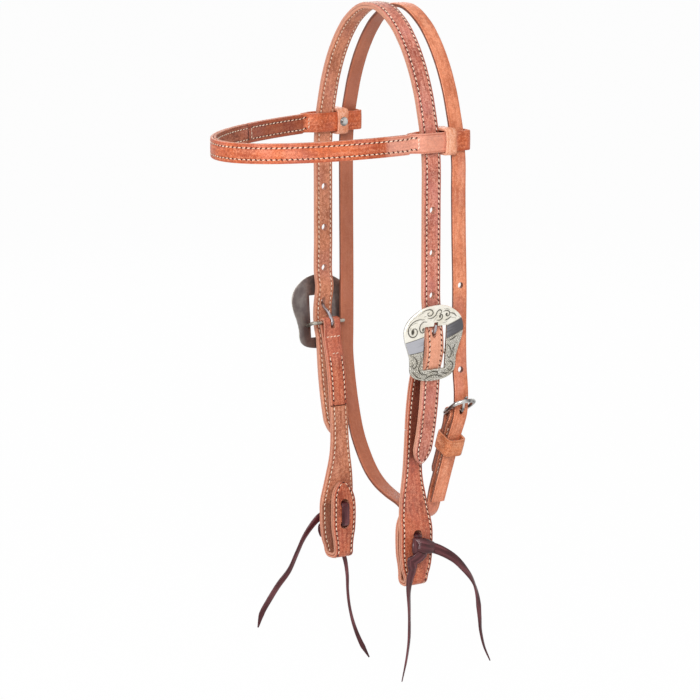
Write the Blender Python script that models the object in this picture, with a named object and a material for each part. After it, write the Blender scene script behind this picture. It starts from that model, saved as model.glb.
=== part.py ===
"""Western headstall: crown, browband, two cheeks with tie ends, throatlatch and their buckles.

Metres, +Z up. The origin is the middle of the underside of the crown, where it rests on the
poll. -Y is the horse's forehead, +X the near side. The off side is the near side mirrored.
"""

import math

import bmesh
import bpy
from mathutils import Matrix, Vector

# Leather
strap_width = 0.016          # crown, browband and the plain part of the cheeks
ply = 0.0023                 # one layer of a doubled strap
ply_gap = 0.0003             # between two layers, and between any two touching pieces
bevel = 0.0006               # dressed edge of the leather
clearance = 0.0003

# Crown and its billets
poll_flat = 0.012            # flat length on top of the poll
half_span = 0.080            # middle of the head to the strap, below the browband
arch_drop = 0.120            # poll to where the strap hangs straight
bar_drop = 0.269             # poll to the bar of the cheek buckle
bar_span = 0.0766            # middle of the head to the strap, level with that bar
plate_lean_deg = 5.0         # lean of the strap behind the plate
tail_length = 0.073          # billet below the plate, to its tip
tail_lean_deg = 8.5
window_bow = ((0.0200, 0.0014), (0.0120, 0.0028), (0.0030, 0.0040), (-0.0070, 0.0044), (-0.0160, 0.0038),
              (-0.0230, 0.0036))     # above the bar, and how far the crown is pressed out there
tail_bow = ((0.3, 0.0042), (0.65, 0.0032), (1.0, 0.0))
tail_point = 0.013           # length of the pointed tip
hole_pitch = 0.0344
hole_bore = 0.0046
hole_count = 3               # free holes above the one in use
arch_shares = ((0.14, 0.008), (0.26, 0.038), (0.4375, 0.114), (0.5375, 0.179), (0.625, 0.249),
               (0.75, 0.379), (0.856, 0.535), (0.9125, 0.657), (0.9575, 0.771),
               (0.986, 0.886), (1.0, 1.0))

# Browband
band_depth = 0.146           # crown to the front of the forehead
band_drop = 0.100            # poll to the middle of the band, at the crown
band_sag = 0.0055            # how much lower the front lies
band_fold_back = 0.062       # folded end, measured along the inside
band_split = 0.022           # where the loop opens, ahead of the crown's middle
loop_inner = 0.0722          # middle of the head to the inner wall's centre
loop_outer = 0.0862          # middle of the head to the outer wall's centre
loop_corner = 0.0040
loop_slack = 0.0016           # room behind the throatlatch
ring_wall = 0.0022           # leather keeper between crown and throatlatch
ring_length = 0.0088
ring_slack = 0.0005
rivet_head = 0.0075
rivet_rise = 0.0016

# Throatlatch
throat_width = 0.013
throat_ply = 0.003
throat_back = 0.0245         # behind the crown's middle
throat_span = 0.0825
throat_inset = 0.0035        # how much nearer the head it hangs behind the cheek buckles
throat_shift_from = 0.150    # poll to where it starts to move in
throat_near_back = 0.0285    # its place behind the crown at that level, near side
throat_off_back = 0.0228
throat_hole = 0.005
throat_hole_pitch = 0.0345
throat_hole_drop = 0.218     # poll to the first hole of the billet
throat_bar_inset = 0.0102
throat_bar_drop = 0.3235
throat_leg_lean_deg = 21.5
throat_leg = 0.058           # folded-back end below the bar
throat_billet_gap = 0.0029   # between the folded leg and the billet in front of it
throat_deep = 0.195          # first billet hole to the bottom of the throatlatch
throat_tail = 0.082          # billet below the bar
throat_bulge = 0.0030        # how far the billet stands out above its buckle
billet_shares = ((0.9, -0.40), (0.25, 0.14), (0.0, 1.35), (0.75, 3.0), (1.0, 4.6))

sling_shares = ((-0.962, 0.405), (-0.936, 0.492), (-0.873, 0.620), (-0.776, 0.749), (-0.668, 0.828),
                (-0.521, 0.903), (-0.364, 0.949), (-0.170, 0.980), (0.036, 1.002), (0.170, 1.028),
                (0.285, 1.040))

# Wire of the buckles
throat_wire = 0.0014         # radius
throat_frame_reach = 0.0225
throat_frame_half = 0.0095
throat_frame_rise_deg = 23.0
throat_prong = 0.0011
keeper_wall = 0.0018
keeper_height = 0.0155
keeper_play = 0.0008
keeper_slack = 0.0042        # extra room over the billet
keeper_down = 0.0265         # bar to the keeper's middle

# Cheek buckles
bar_wire = 0.0015            # radius
bar_set_back = 0.0072        # strap's middle to the bar
bar_half = 0.0143            # bar's half length, to the legs that carry it
plate_thick = 0.0022
plate_arch = 0.0022          # how much the plate curves back at its widest
plate_half = 0.0286
plate_stand = 0.0042         # space between the strap and the plate
plate_top = 0.0397           # above the bar
plate_foot = 0.0230          # below the bar
window_half = 0.0106
window_top = 0.0222
window_foot = 0.0134
notch_half = 0.0019
notch_rise = 0.0030
prong = 0.0013               # radius of the tongue
prong_slot = 0.0042
prong_hole = 0.0112          # above the bar, in the strap
prong_hole_length = 0.0094
prong_hole_rise = 0.0018     # the crown stands out there, so the tongue meets it higher

# Cheeks
step_down = 0.070            # bar to the end of the folded top
cheek_foot = 0.468           # poll to the bottom of the bit loop
loop_middle = 0.05455        # middle of the head to the middle of the bit loop
loop_half = 0.00575          # loop's middle to the centre of each leg
loop_round = 0.00375
cheek_neck = 0.017           # width above the shoulder
cheek_wide = 0.0305          # width at the tie holes
cheek_fold = 0.0190          # width at the bottom
flap_wide = 0.0225
flap_height = 0.063
flap_tip = 0.0045
tie_high_rise = 0.0465       # bottom of the bit loop to the upper tie hole
tie_low_rise = 0.0285
tie_slot_wide = 0.0088
tie_slot_high = 0.0050
thong_wide = 0.0074
thong_thick = 0.0018
knot_wide = 0.023
knot_high = 0.022
knot_deep = 0.0085
knot_wrap_shares = ((62, -0.30, 0.36, 0.30), (-28, 0.36, 0.34, 0.24))

# Tie tails: the route of each middle line from its knot's middle, in this unit
tail_wide = 0.0066
tail_tip = 0.0024
tail_unit = 0.01
tail_route_shares = {
    "near_tie_tail_rear": ((0.17, 1.25, 0.67), (0.42, 2.05, 0.37), (0.67, 2.95, -0.13), (0.87, 3.7, -1.03),
                           (0.97, 4.55, -2.33), (0.97, 5, -3.53), (0.97, 5.15, -5.73), (0.97, 5.25, -6.83),
                           (1.07, 5.65, -8.23), (1.17, 6.2, -9.53)),
    "near_tie_tail_front": ((-0.01, -0.55, -1.01), (0.01, -0.9, -1.73), (-0.03, -1.1, -2.73),
                            (-0.08, -1.05, -4.43), (-0.13, -1, -6.13), (-0.13, -1.05, -7.13),
                            (-0.18, -1.25, -8.63), (-0.23, -1.65, -10.43)),
    "off_tie_tail_front": ((-0.12, -1.25, 0.57), (-0.27, -1.8, -0.03), (-0.37, -2.55, -1.03),
                           (-0.47, -3.2, -2.33), (-0.57, -3.9, -3.73), (-0.67, -4.95, -4.93),
                           (-0.72, -5.85, -6.13), (-0.77, -6.5, -7.13), (-0.77, -6.9, -8.33)),
    "off_tie_tail_rear": ((0.01, 0.55, -1.07), (0.11, 0.8, -2.03), (0.33, 1.15, -3.33), (0.43, 1.3, -4.63),
                          (0.43, 1.35, -6.03), (0.43, 1.55, -7.53), (0.48, 1.95, -9.13),
                          (0.53, 2.65, -10.83), (0.58, 3.45, -12.23)),
}

# How finely curves are cut
turn_limit_deg = 9.0
longest_step = 0.022
round_sides = 12
wire_sides = 8
sharp_deg = 35.0
overrun = 0.004
tight = 0.0001

tie_high = cheek_foot - tie_high_rise
tie_low = cheek_foot - tie_low_rise
nothing = Vector((0, 0, 0))
along_y = Vector((0, 1, 0))
along_z = Vector((0, 0, 1))
leather = (0.52, 0.20, 0.10)
dark_leather = (0.42, 0.15, 0.08)
latigo = (0.09, 0.035, 0.04)
silver = (0.55, 0.53, 0.48)
nickel = (0.62, 0.62, 0.60)


def clear():
    for old in list(bpy.data.objects):
        bpy.data.objects.remove(old, do_unlink=True)
    for old in list(bpy.data.meshes):
        bpy.data.meshes.remove(old)


def look(name, colour, roughness, metallic):
    made = bpy.data.materials.new(name)
    made.use_nodes = True
    shader = made.node_tree.nodes["Principled BSDF"]
    shader.inputs["Base Color"].default_value = (*colour, 1)
    shader.inputs["Roughness"].default_value = roughness
    shader.inputs["Metallic"].default_value = metallic
    return made


def curve_through(points, fine=14):
    """Smooth curve through the points, as closely spaced points (centripetal Catmull-Rom)."""
    points = [Vector(p) for p in points]
    first = points[0] * 2 - points[1]
    last = points[-1] * 2 - points[-2]
    points = [first, *points, last]
    made = []
    for a, b, c, d in zip(points, points[1:], points[2:], points[3:]):
        t0 = 0.0
        t1 = t0 + math.sqrt((b - a).length)
        t2 = t1 + math.sqrt((c - b).length)
        t3 = t2 + math.sqrt((d - c).length)
        for step in range(fine):
            t = t1 + (t2 - t1) * step / fine
            ab = a * ((t1 - t) / (t1 - t0)) + b * ((t - t0) / (t1 - t0))
            bc = b * ((t2 - t) / (t2 - t1)) + c * ((t - t1) / (t2 - t1))
            cd = c * ((t3 - t) / (t3 - t2)) + d * ((t - t2) / (t3 - t2))
            abc = ab * ((t2 - t) / (t2 - t0)) + bc * ((t - t0) / (t2 - t0))
            bcd = bc * ((t3 - t) / (t3 - t1)) + cd * ((t - t1) / (t3 - t1))
            made.append(abc * ((t2 - t) / (t2 - t1)) + bcd * ((t - t1) / (t2 - t1)))
    made.append(points[-2])
    return made


def thinned(points, turn_deg=turn_limit_deg, reach=longest_step):
    """Fewer points: a new one where the curve has turned, or after a long straight run."""
    kept = [points[0]]
    start = None
    for before, here, after in zip(points, points[1:], points[2:]):
        heading = after - here
        if start is None:
            start = here - before
        if start.angle(heading, 0) >= math.radians(turn_deg) or (here - kept[-1]).length >= reach:
            kept.append(here)
            start = heading
    if (points[-1] - kept[-1]).length < tight * 8 and len(kept) > 1:
        kept.pop()
    kept.append(points[-1])
    return kept


def arc(middle, radius, from_deg, to_deg, count):
    """Points of an arc in the XZ plane; 0 degrees is +X and 90 degrees is +Z."""
    made = []
    for step in range(count + 1):
        angle = math.radians(from_deg + (to_deg - from_deg) * step / count)
        made.append(middle + Vector((math.cos(angle), 0, math.sin(angle))) * radius)
    return made


def lengths(points):
    total, made = 0.0, [0.0]
    for a, b in zip(points, points[1:]):
        total += (b - a).length
        made.append(total)
    return made


def table(places, values, where):
    """Value at a place, read along straight lines between the given pairs."""
    if where <= places[0]:
        return values[0]
    for a, b, va, vb in zip(places, places[1:], values, values[1:]):
        if where <= b:
            return va + (vb - va) * (where - a) / (b - a)
    return values[-1]


def normals_of(points, side):
    made = []
    for number, here in enumerate(points):
        before = points[max(number - 1, 0)]
        after = points[min(number + 1, len(points) - 1)]
        heading = (here - before).normalized() + (after - here).normalized()
        made.append(heading.normalized().cross(side).normalized())
    return made


def eased(share):
    share = min(max(share, 0.0), 1.0)
    return share * share * (3 - 2 * share)


def node(name, mesh, material, origin=nothing):
    """An object from a bmesh in world coordinates, with its origin moved to the given point."""
    bmesh.ops.recalc_face_normals(mesh, faces=mesh.faces)
    data = bpy.data.meshes.new(name)
    mesh.to_mesh(data)
    mesh.free()
    data.transform(Matrix.Translation(-origin))
    made = bpy.data.objects.new(name, data)
    made.location = origin
    bpy.context.scene.collection.objects.link(made)
    data.materials.append(material)
    data.shade_smooth()
    data.set_sharp_from_angle(angle=math.radians(sharp_deg))
    return made


def skin(rings, closed=False, mesh=None):
    """A tube of faces through rings of equal point counts, capped unless it closes on itself."""
    mesh = mesh or bmesh.new()
    made = [[mesh.verts.new(p) for p in ring] for ring in rings]
    pairs = list(zip(made, made[1:]))
    if closed:
        pairs.append((made[-1], made[0]))
    for one, two in pairs:
        for a in range(len(one)):
            b = (a + 1) % len(one)
            mesh.faces.new((one[a], one[b], two[b], two[a]))
    if not closed:
        mesh.faces.new(made[0])
        mesh.faces.new(made[-1])
    return mesh


def strip(stations, dressed="outer"):
    """Flat strap. A station is (point, normal, side, half width, low, high) along the normal."""
    rings = []
    for point, normal, side, half, low, high in stations:
        cut = min(bevel, half / 2)
        if dressed == "outer":
            outline = ((-half, low), (half, low), (half, high - cut), (half - cut, high),
                       (cut - half, high), (-half, high - cut))
        elif dressed == "inner":
            outline = ((cut - half, low), (half - cut, low), (half, low + cut), (half, high),
                       (-half, high), (-half, low + cut))
        else:
            outline = ((cut - half, low), (half - cut, low), (half, low + cut), (half, high - cut),
                       (half - cut, high), (cut - half, high), (-half, high - cut),
                       (-half, low + cut))
        rings.append([point + side * across + normal * up for across, up in outline])
    return skin(rings)


def tube(points, radius, side, closed=False, flat_share=1.0, sides=wire_sides):
    """Round or flattened wire along points that lie in a plane square to side."""
    rings = []
    count = len(points)
    for number, here in enumerate(points):
        if closed:
            before, after = points[number - 1], points[(number + 1) % count]
        else:
            before, after = points[max(number - 1, 0)], points[min(number + 1, count - 1)]
        heading = (after - before).normalized()
        up = heading.cross(side).normalized()
        size = radius[number] if isinstance(radius, list) else radius
        rings.append([here + side * (math.cos(math.tau * k / sides) * size)
                      + up * (math.sin(math.tau * k / sides) * size * flat_share)
                      for k in range(sides)])
    return skin(rings, closed)


def flipped(points):
    return [Vector((-p.x, p.y, p.z)) for p in points]


def mirrored(stations):
    flip = Vector((-1, 1, 1))
    return [(point * flip, normal * flip, side * flip, half, low, high)
            for point, normal, side, half, low, high in stations]


def cut(target, cutter_mesh, name):
    """Subtracts a helper mesh, which stays hidden beside the piece."""
    cutter = node(name, cutter_mesh, target.data.materials[0])
    hide(cutter)
    subtract(target, cutter)
    return cutter


def hide(helper):
    helper.hide_render = True
    helper.display_type = "WIRE"


def subtract(target, cutter):
    change = target.modifiers.new("cut", "BOOLEAN")
    change.operation = "DIFFERENCE"
    change.solver = "EXACT"
    change.object = cutter


def join(target, other):
    change = target.modifiers.new("join", "BOOLEAN")
    change.operation = "UNION"
    change.solver = "EXACT"
    change.object = other


def pin(mesh, middle, axis, side, half_side, half_up, half_length, sides=14):
    """An oval pin for cutting a hole, along an axis."""
    up = axis.cross(side).normalized()
    rings = []
    for end in (-half_length, half_length):
        rings.append([middle + axis * end + side * (math.cos(math.tau * k / sides) * half_side)
                      + up * (math.sin(math.tau * k / sides) * half_up) for k in range(sides)])
    return skin(rings, mesh=mesh)


def block(mesh, middle, axes, halves):
    """A box given by its middle, three axes and three half sizes."""
    a, b, c = (axis * half for axis, half in zip(axes, halves))
    return skin([[middle - a - b + c * end, middle + a - b + c * end, middle + a + b + c * end,
                  middle - a + b + c * end] for end in (-1, 1)], mesh=mesh)


lean = math.radians(plate_lean_deg)
plate_out = Vector((math.cos(lean), 0, -math.sin(lean)))
plate_up = Vector((math.sin(lean), 0, math.cos(lean)))
bar_level = Vector((bar_span, 0, -bar_drop))
bar_middle = bar_level - plate_out * bar_set_back
crown_top = ply + ply_gap / 2
half_strap = ply + ply_gap / 2


def crown_route():
    """Middle of the doubled strap, from the poll's middle to the near billet's tip."""
    rise = arch_drop + crown_top
    points = [Vector((poll_flat / 2, 0, crown_top))]
    points += [Vector((half_span * out, 0, crown_top - rise * down)) for out, down in arch_shares]
    plate_head = bar_level + plate_up * (plate_top + strap_width / 8)
    straight = (points[-1].z - plate_head.z) / 4
    points += [Vector((half_span, 0, points[-1].z - straight * k)) for k in (1, 2, 3)]
    points += [plate_head]
    points += [bar_level + plate_up * high + plate_out * bow for high, bow in window_bow]
    tail_lean = math.radians(tail_lean_deg)
    heading = Vector((-math.sin(tail_lean), 0, -math.cos(tail_lean)))
    foot = bar_level - plate_up * plate_foot
    points += [foot + heading * (tail_length * share) + plate_out * bow for share, bow in tail_bow]
    return thinned(curve_through(points))


def pointed(run, length, full, tip_half_share=0.14):
    """Half width of a strap that ends in a rounded point at the given length."""
    left = (length - run) / tail_point
    return full * table((0.0, 0.12, 0.45, 0.8, 1.0), (tip_half_share, 0.42, 0.76, 0.95, 1.0), left)


def with_tip(points, length):
    """Adds a few closer points to the end of a route, so that its tip can be shaped."""
    runs = lengths(points)
    kept = [p for p, run in zip(points, runs) if run < runs[-1] - length * 1.15]
    start, end = kept[-1], points[-1]
    heading = (end - start).normalized()
    for share in (1.0, 0.8, 0.45, 0.2, 0.0):
        kept.append(end - heading * (length * share))
    return kept


def crown_stations(low, high):
    near = with_tip(crown_route(), tail_point)
    normals = normals_of(near, along_y)
    normals[0] = along_z
    runs = lengths(near)
    half = strap_width / 2
    stations = [(point, normal, along_y, pointed(run, runs[-1], half), low, high)
                for point, normal, run in zip(near, normals, runs)]
    return list(reversed(mirrored(stations))) + stations


def hole_drops():
    """Drops of the free holes of the crown's billets, along the strap from the bar."""
    return [prong_hole + hole_pitch * k for k in range(1, hole_count + 1)]


def crown_hole_pins():
    mesh = bmesh.new()
    for hand in (1, -1):
        flip = Vector((hand, 1, 1))
        out = Vector((hand, 0, 0))
        for drop in hole_drops():
            middle = Vector((half_span, 0, bar_level.z + drop)) * flip
            pin(mesh, middle, out, along_y, hole_bore / 2, hole_bore / 2, ply * 2 + overrun)
        middle = (bar_level + plate_up * (prong_hole + prong_hole_rise)) * flip
        pin(mesh, middle, plate_out * flip, along_y, prong_slot / 2, prong_hole_length / 2,
            ply * 2 + overrun)
    return mesh


def make_crown(looks):
    upper = node("crown_outer_ply", strip(crown_stations(ply_gap / 2, ply_gap / 2 + ply)),
                 looks["crown"])
    lower = node("crown_lining_ply",
                 strip(crown_stations(-ply_gap / 2 - ply, -ply_gap / 2), "inner"),
                 looks["crown_lining"])
    pins = cut(upper, crown_hole_pins(), "crown_hole_pins")
    subtract(lower, pins)


def band_point(angle, out):
    """Point of the band's middle, pushed out, at an angle from the near crown (0) to the off."""
    flat = Vector((half_span * math.cos(angle), -band_depth * math.sin(angle), 0))
    normal = Vector((band_depth * math.cos(angle), -half_span * math.sin(angle), 0)).normalized()
    drop = -band_drop - band_sag * max(math.sin(angle), 0)
    return flat + normal * out + Vector((0, 0, drop)), normal


def band_angles():
    """Angles at even turns of the ellipse, with a flat facet at the very front."""
    split = math.asin(band_split / band_depth)
    half = 15
    made = []
    for step in range(half + 1):
        share = step / half
        even = split + (math.pi / 2 - facet_angle - split) * share
        made.append(even)
    return made + [math.pi - angle for angle in reversed(made)]


facet_angle = math.asin(poll_flat / 4 / half_span)
layer_shift = (ply + ply_gap) / 2


def band_loop(hand):
    """The loop round crown and throatlatch, from the doubled part's outside to its inside."""
    back = throat_back + throat_width / 2 + loop_slack + ply / 2
    outer, inner = loop_outer, loop_inner
    start, _ = band_point(math.asin(band_split / band_depth), layer_shift)
    finish, _ = band_point(math.asin(band_split / band_depth), -layer_shift)
    front = -strap_width / 2
    ease = band_split + front
    level = Vector((0, 0, -band_drop))
    opening = [Vector((start.x + (outer - start.x) * eased(share),
                       start.y + ease * share, 0)) + level for share in (0.25, 0.5, 0.75, 1.0)]
    closing = [Vector((finish.x + (inner - finish.x) * eased(share),
                       finish.y + ease * share, 0)) + level for share in (1.0, 0.75, 0.5, 0.25)]
    made = [*opening, Vector((outer, front / 2, 0)) + level,
            Vector((outer, throat_back, 0)) + level]
    for middle_x, from_deg, to_deg in ((outer - loop_corner, 0, 90), (inner + loop_corner, 90, 180)):
        for step in range(5):
            angle = math.radians(from_deg + (to_deg - from_deg) * step / 4)
            made.append(Vector((middle_x + math.cos(angle) * loop_corner,
                                back - loop_corner + math.sin(angle) * loop_corner, 0)) + level)
    made += [Vector((inner, throat_back, 0)) + level, Vector((inner, front / 2, 0)) + level,
             *closing]
    return [Vector((hand * p.x, p.y, p.z)) for p in made]


def band_fold_points(hand, length):
    """Inside of the doubled part from the loop forward, for the given length."""
    angle = math.asin(band_split / band_depth)
    step = math.radians(1.0)
    made, run = [band_point(angle, -layer_shift)[0]], 0.0
    last = made[0]
    while run < length:
        angle += step
        here, _ = band_point(angle, -layer_shift)
        run += (here - last).length
        last = here
        made.append(here)
    made = thinned(made)
    return [Vector((hand * p.x, p.y, p.z)) for p in made], angle


def band_outer_points():
    middle = [band_point(angle, layer_shift)[0] for angle in band_angles()]
    fold_near, _ = band_fold_points(1, band_fold_back)
    fold_off, _ = band_fold_points(-1, band_fold_back)
    off = list(reversed(fold_off)) + list(reversed(band_loop(-1)))
    near = band_loop(1) + fold_near
    return off + list(reversed(middle)) + near


def vertical_strip(points, dressed, width=strap_width):
    normals = normals_of(points, along_z)
    half = width / 2
    return strip([(point, normal, along_z, half, -ply / 2, ply / 2)
                  for point, normal in zip(points, normals)], dressed)


def make_browband(looks):
    origin = Vector((0, 0, -band_drop))
    node("browband_outer_ply", vertical_strip(band_outer_points(), "both"), looks["band"], origin)
    _, stop = band_fold_points(1, band_fold_back)
    spare = math.asin(ply_gap * 2 / half_span)
    inside = [angle for angle in band_angles() if stop + spare * 4 < angle < math.pi - stop - spare * 4]
    angles = [stop + spare, *inside, math.pi - stop - spare]
    points = [band_point(angle, -layer_shift)[0] for angle in reversed(angles)]
    node("browband_lining_ply", vertical_strip(points, "both"), looks["band_lining"], origin)
    for hand, word in ((1, "near"), (-1, "off")):
        make_ring(word, hand, looks, origin)


def make_ring(word, hand, looks, origin):
    """Leather keeper round both walls of the loop, riveted on its inner side."""
    low_x = loop_inner - ply / 2 - ring_slack
    high_x = loop_outer + ply / 2 + ring_slack
    high_z = strap_width / 2 + ring_slack
    middle = Vector(((low_x + high_x) / 2 * hand, ring_middle(), -band_drop))
    half_x = (high_x - low_x) / 2
    mesh = bmesh.new()
    axes = (Vector((1, 0, 0)), along_z, along_y)
    outline = rounded(half_x + ring_wall, high_z + ring_wall, ring_wall * 1.6, 3)
    inner = rounded(half_x, high_z, ring_wall / 2, 3)
    ringed(mesh, middle, axes, outline, inner, ring_length / 2)
    ring = node(f"{word}_browband_keeper", mesh, looks["ring"], origin)
    seat = Vector((hand * (low_x - ring_wall), middle.y, middle.z))
    out = Vector((-hand, 0, 0))
    steps = ((rivet_head / 2, 0.0), (rivet_head / 2, 0.35), (rivet_head * 0.4, 0.75),
             (rivet_head * 0.2, 1.0))
    rings = [[seat + out * (clearance + rivet_rise * rise)
              + along_y * (math.cos(math.tau * k / round_sides) * size)
              + along_z * (math.sin(math.tau * k / round_sides) * size)
              for k in range(round_sides)] for size, rise in steps]
    node(f"{word}_keeper_rivet", skin(rings), looks["rivet"], origin)
    return ring


def ring_middle():
    front = strap_width / 2
    back = throat_back - throat_width / 2
    return (front + back) / 2


def rounded(half_a, half_b, corner, count):
    """Outline of a rounded rectangle as pairs, counterclockwise."""
    made = []
    for quarter, (sign_a, sign_b) in enumerate(((1, 1), (-1, 1), (-1, -1), (1, -1))):
        for step in range(count + 1):
            angle = math.radians(90 * (quarter + step / count))
            made.append((sign_a * (half_a - corner) + math.cos(angle) * corner,
                         sign_b * (half_b - corner) + math.sin(angle) * corner))
    return made


def ringed(mesh, middle, axes, outline, inner, half_length):
    """A frame between two outlines with equal point counts, drawn along the third axis."""
    a, b, c = axes
    corners = []
    for pairs, end in ((outline, -1), (outline, 1), (inner, 1), (inner, -1)):
        corners.append([mesh.verts.new(middle + a * p + b * q + c * (end * half_length))
                        for p, q in pairs])
    for one, two in zip(corners, corners[1:] + corners[:1]):
        for k in range(len(one)):
            after = (k + 1) % len(one)
            mesh.faces.new((one[k], one[after], two[after], two[k]))
    return mesh


def at_plate(hand, out, across, up):
    point = bar_level + plate_out * out + plate_up * up
    return Vector((hand * point.x, across, point.z))


plate_shares = ((0.0, 1.0), (0.24, 0.985), (0.45, 0.94), (0.65, 0.86), (0.81, 0.77), (0.92, 0.67),
                (0.985, 0.555), (1.0, 0.47), (0.985, 0.36), (0.93, 0.22), (0.86, 0.09), (0.82, 0.0),
                (0.79, -0.12), (0.77, -0.35), (0.765, -0.55), (0.73, -0.71), (0.62, -0.85),
                (0.45, -0.94), (0.22, -0.99), (0.0, -1.0))


def plate_edge():
    """Edge of the plate from the top round the near edge and back: dome, waist, shield foot."""
    half = [(plate_half * out, (plate_top if up > 0 else plate_foot) * up) for out, up in plate_shares]
    return half + [(-y, z) for y, z in reversed(half[1:-1])]


def plate_outline(angle):
    """The plate's edge in one direction from the middle of its window."""
    x, y = math.cos(angle), math.sin(angle)
    edge = [(a, b - plate_centre()) for a, b in plate_edge()]
    for (a, b), (c, d) in zip(edge, edge[1:] + edge[:1]):
        turn = x * (d - b) - y * (c - a)
        if abs(turn) < tight * tight:
            continue
        reach = (a * (d - b) - b * (c - a)) / turn
        share = (a * y - b * x) / turn
        if reach > 0 and -tight <= share <= 1 + tight:
            return x * reach, plate_centre() + y * reach
    raise ValueError("the plate's edge isn't closed")


def plate_centre():
    return (window_top - window_foot) / 2


def window_outline(angle):
    """Edge of the window, with the notch for the tongue's tip, seen from the same middle."""
    x, y = math.cos(angle), math.sin(angle)
    half_high = (window_top + window_foot) / 2
    reach = min(window_half / max(abs(x), tight), half_high / max(abs(y), tight))
    if y > 0 and abs(x) * (half_high / y) < notch_half:
        reach = min((half_high + notch_rise) / y, notch_half / max(abs(x), tight))
    return x * reach, plate_centre() + y * reach


def plate_back(across):
    """How far out the plate's back stands from the strap's middle."""
    edge = half_strap + clearance + plate_stand + plate_arch * (strap_width / 2 / plate_half) ** 2
    return edge - plate_arch * (across / plate_half) ** 2


def make_plate(word, hand, looks):
    half_high = (window_top + window_foot) / 2
    corners = [math.atan2(half_high, window_half), math.atan2(half_high, notch_half),
               math.atan2(half_high + notch_rise, notch_half)]
    corners += [math.pi - angle for angle in corners]
    corners += [-math.atan2(half_high, window_half), math.atan2(half_high, window_half) - math.pi]
    fixed = sorted(angle % math.tau for angle in corners)
    angles = []
    for one, two in zip(fixed, fixed[1:] + [fixed[0] + math.tau]):
        count = max(1, round(math.degrees(two - one) / 8))
        angles += [(one + (two - one) * k / count) for k in range(count)]
    mesh = bmesh.new()
    across_steps = 4
    grids = []
    for thick, pull in ((0.0, 0.0), (plate_thick, bevel)):
        grid = []
        for angle in angles:
            inner, outer = window_outline(angle + tight / 1000), plate_outline(angle)
            line = []
            for step in range(across_steps + 1):
                share = step / across_steps
                y = inner[0] + (outer[0] - inner[0]) * share
                z = inner[1] + (outer[1] - inner[1]) * share
                edge = pull if step == across_steps else 0.0
                line.append(mesh.verts.new(at_plate(hand, plate_back(y) + thick - edge, y, z)))
            grid.append(line)
        grids.append(grid)
    back, front = grids
    for k in range(len(angles)):
        after = (k + 1) % len(angles)
        for step in range(across_steps):
            mesh.faces.new((back[k][step], back[k][step + 1], back[after][step + 1],
                            back[after][step]))
            mesh.faces.new((front[k][step], front[k][step + 1], front[after][step + 1],
                            front[after][step]))
        for step in (0, across_steps):
            mesh.faces.new((back[k][step], back[after][step], front[after][step],
                            front[k][step]))
    node(f"{word}_buckle_plate", mesh, looks["plate"])


def make_bar(word, hand, looks):
    """Wire loop behind the plate: the bar that the cheek hangs from, and its two legs."""
    bend = bar_wire * 1.5
    drop = bar_wire * 2
    reach = plate_back(bar_half + bar_wire) - clearance
    corner = []
    for step in range(5):
        angle = math.radians(90 * step / 4)
        corner.append((-bar_set_back + bend - math.cos(angle) * bend,
                       bar_half - bend + math.sin(angle) * bend))
    half = [(-bar_set_back, (bar_half - bend) * share) for share in (0.0, 0.5)] + corner
    half += [(-bar_set_back + (reach + bar_set_back) * 0.7, bar_half), (reach, bar_half)]
    sag = [0.0] * 3 + [0.0] * 4 + [drop * 0.6, drop]
    line = [at_plate(hand, out, across, -low) for (out, across), low in zip(half, sag)]
    other = [Vector((p.x, -p.y, p.z)) for p in line[1:]]
    line = list(reversed(other)) + line
    node(f"{word}_buckle_bar", tube(line, bar_wire, along_up(hand)), looks["plate"])


def along_up(hand):
    return Vector((hand * plate_up.x, 0, plate_up.z))


def make_prong(word, hand, looks):
    """Tongue: an eye of wire round the bar, rising through the strap to the plate's notch."""
    eye = bar_wire + clearance + prong
    points = []
    for step in range(13):
        angle = math.radians(40 - 250 * step / 12)
        points.append((-bar_set_back + math.cos(angle) * eye, math.sin(angle) * eye))
    hole = prong_hole
    rest = plate_back(0) + plate_thick
    route = [points[-1], (-half_strap * 2.6, hole * 0.58), (-half_strap * 1.25, hole * 0.83),
             (0.0, hole), (half_strap * 1.2, hole * 1.22), (rest * 0.82, hole * 1.56),
             (rest * 1.0, window_top + notch_rise * 0.35)]
    smooth = curve_through([Vector((a, 0, b)) for a, b in route], 3)
    line = [at_plate(hand, a, 0, b) for a, b in points[:-1]]
    line += [at_plate(hand, p.x, 0, p.z) for p in smooth]
    count = len(line)
    radius = [prong * (1.0 if k < count - 3 else table((0, 3), (0.55, 0.95), count - 1 - k))
              for k in range(count)]
    pivot = Vector((hand * bar_middle.x, 0, bar_middle.z))
    node(f"{word}_buckle_tongue", tube(line, radius, along_y), looks["tongue"], pivot)


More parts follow.
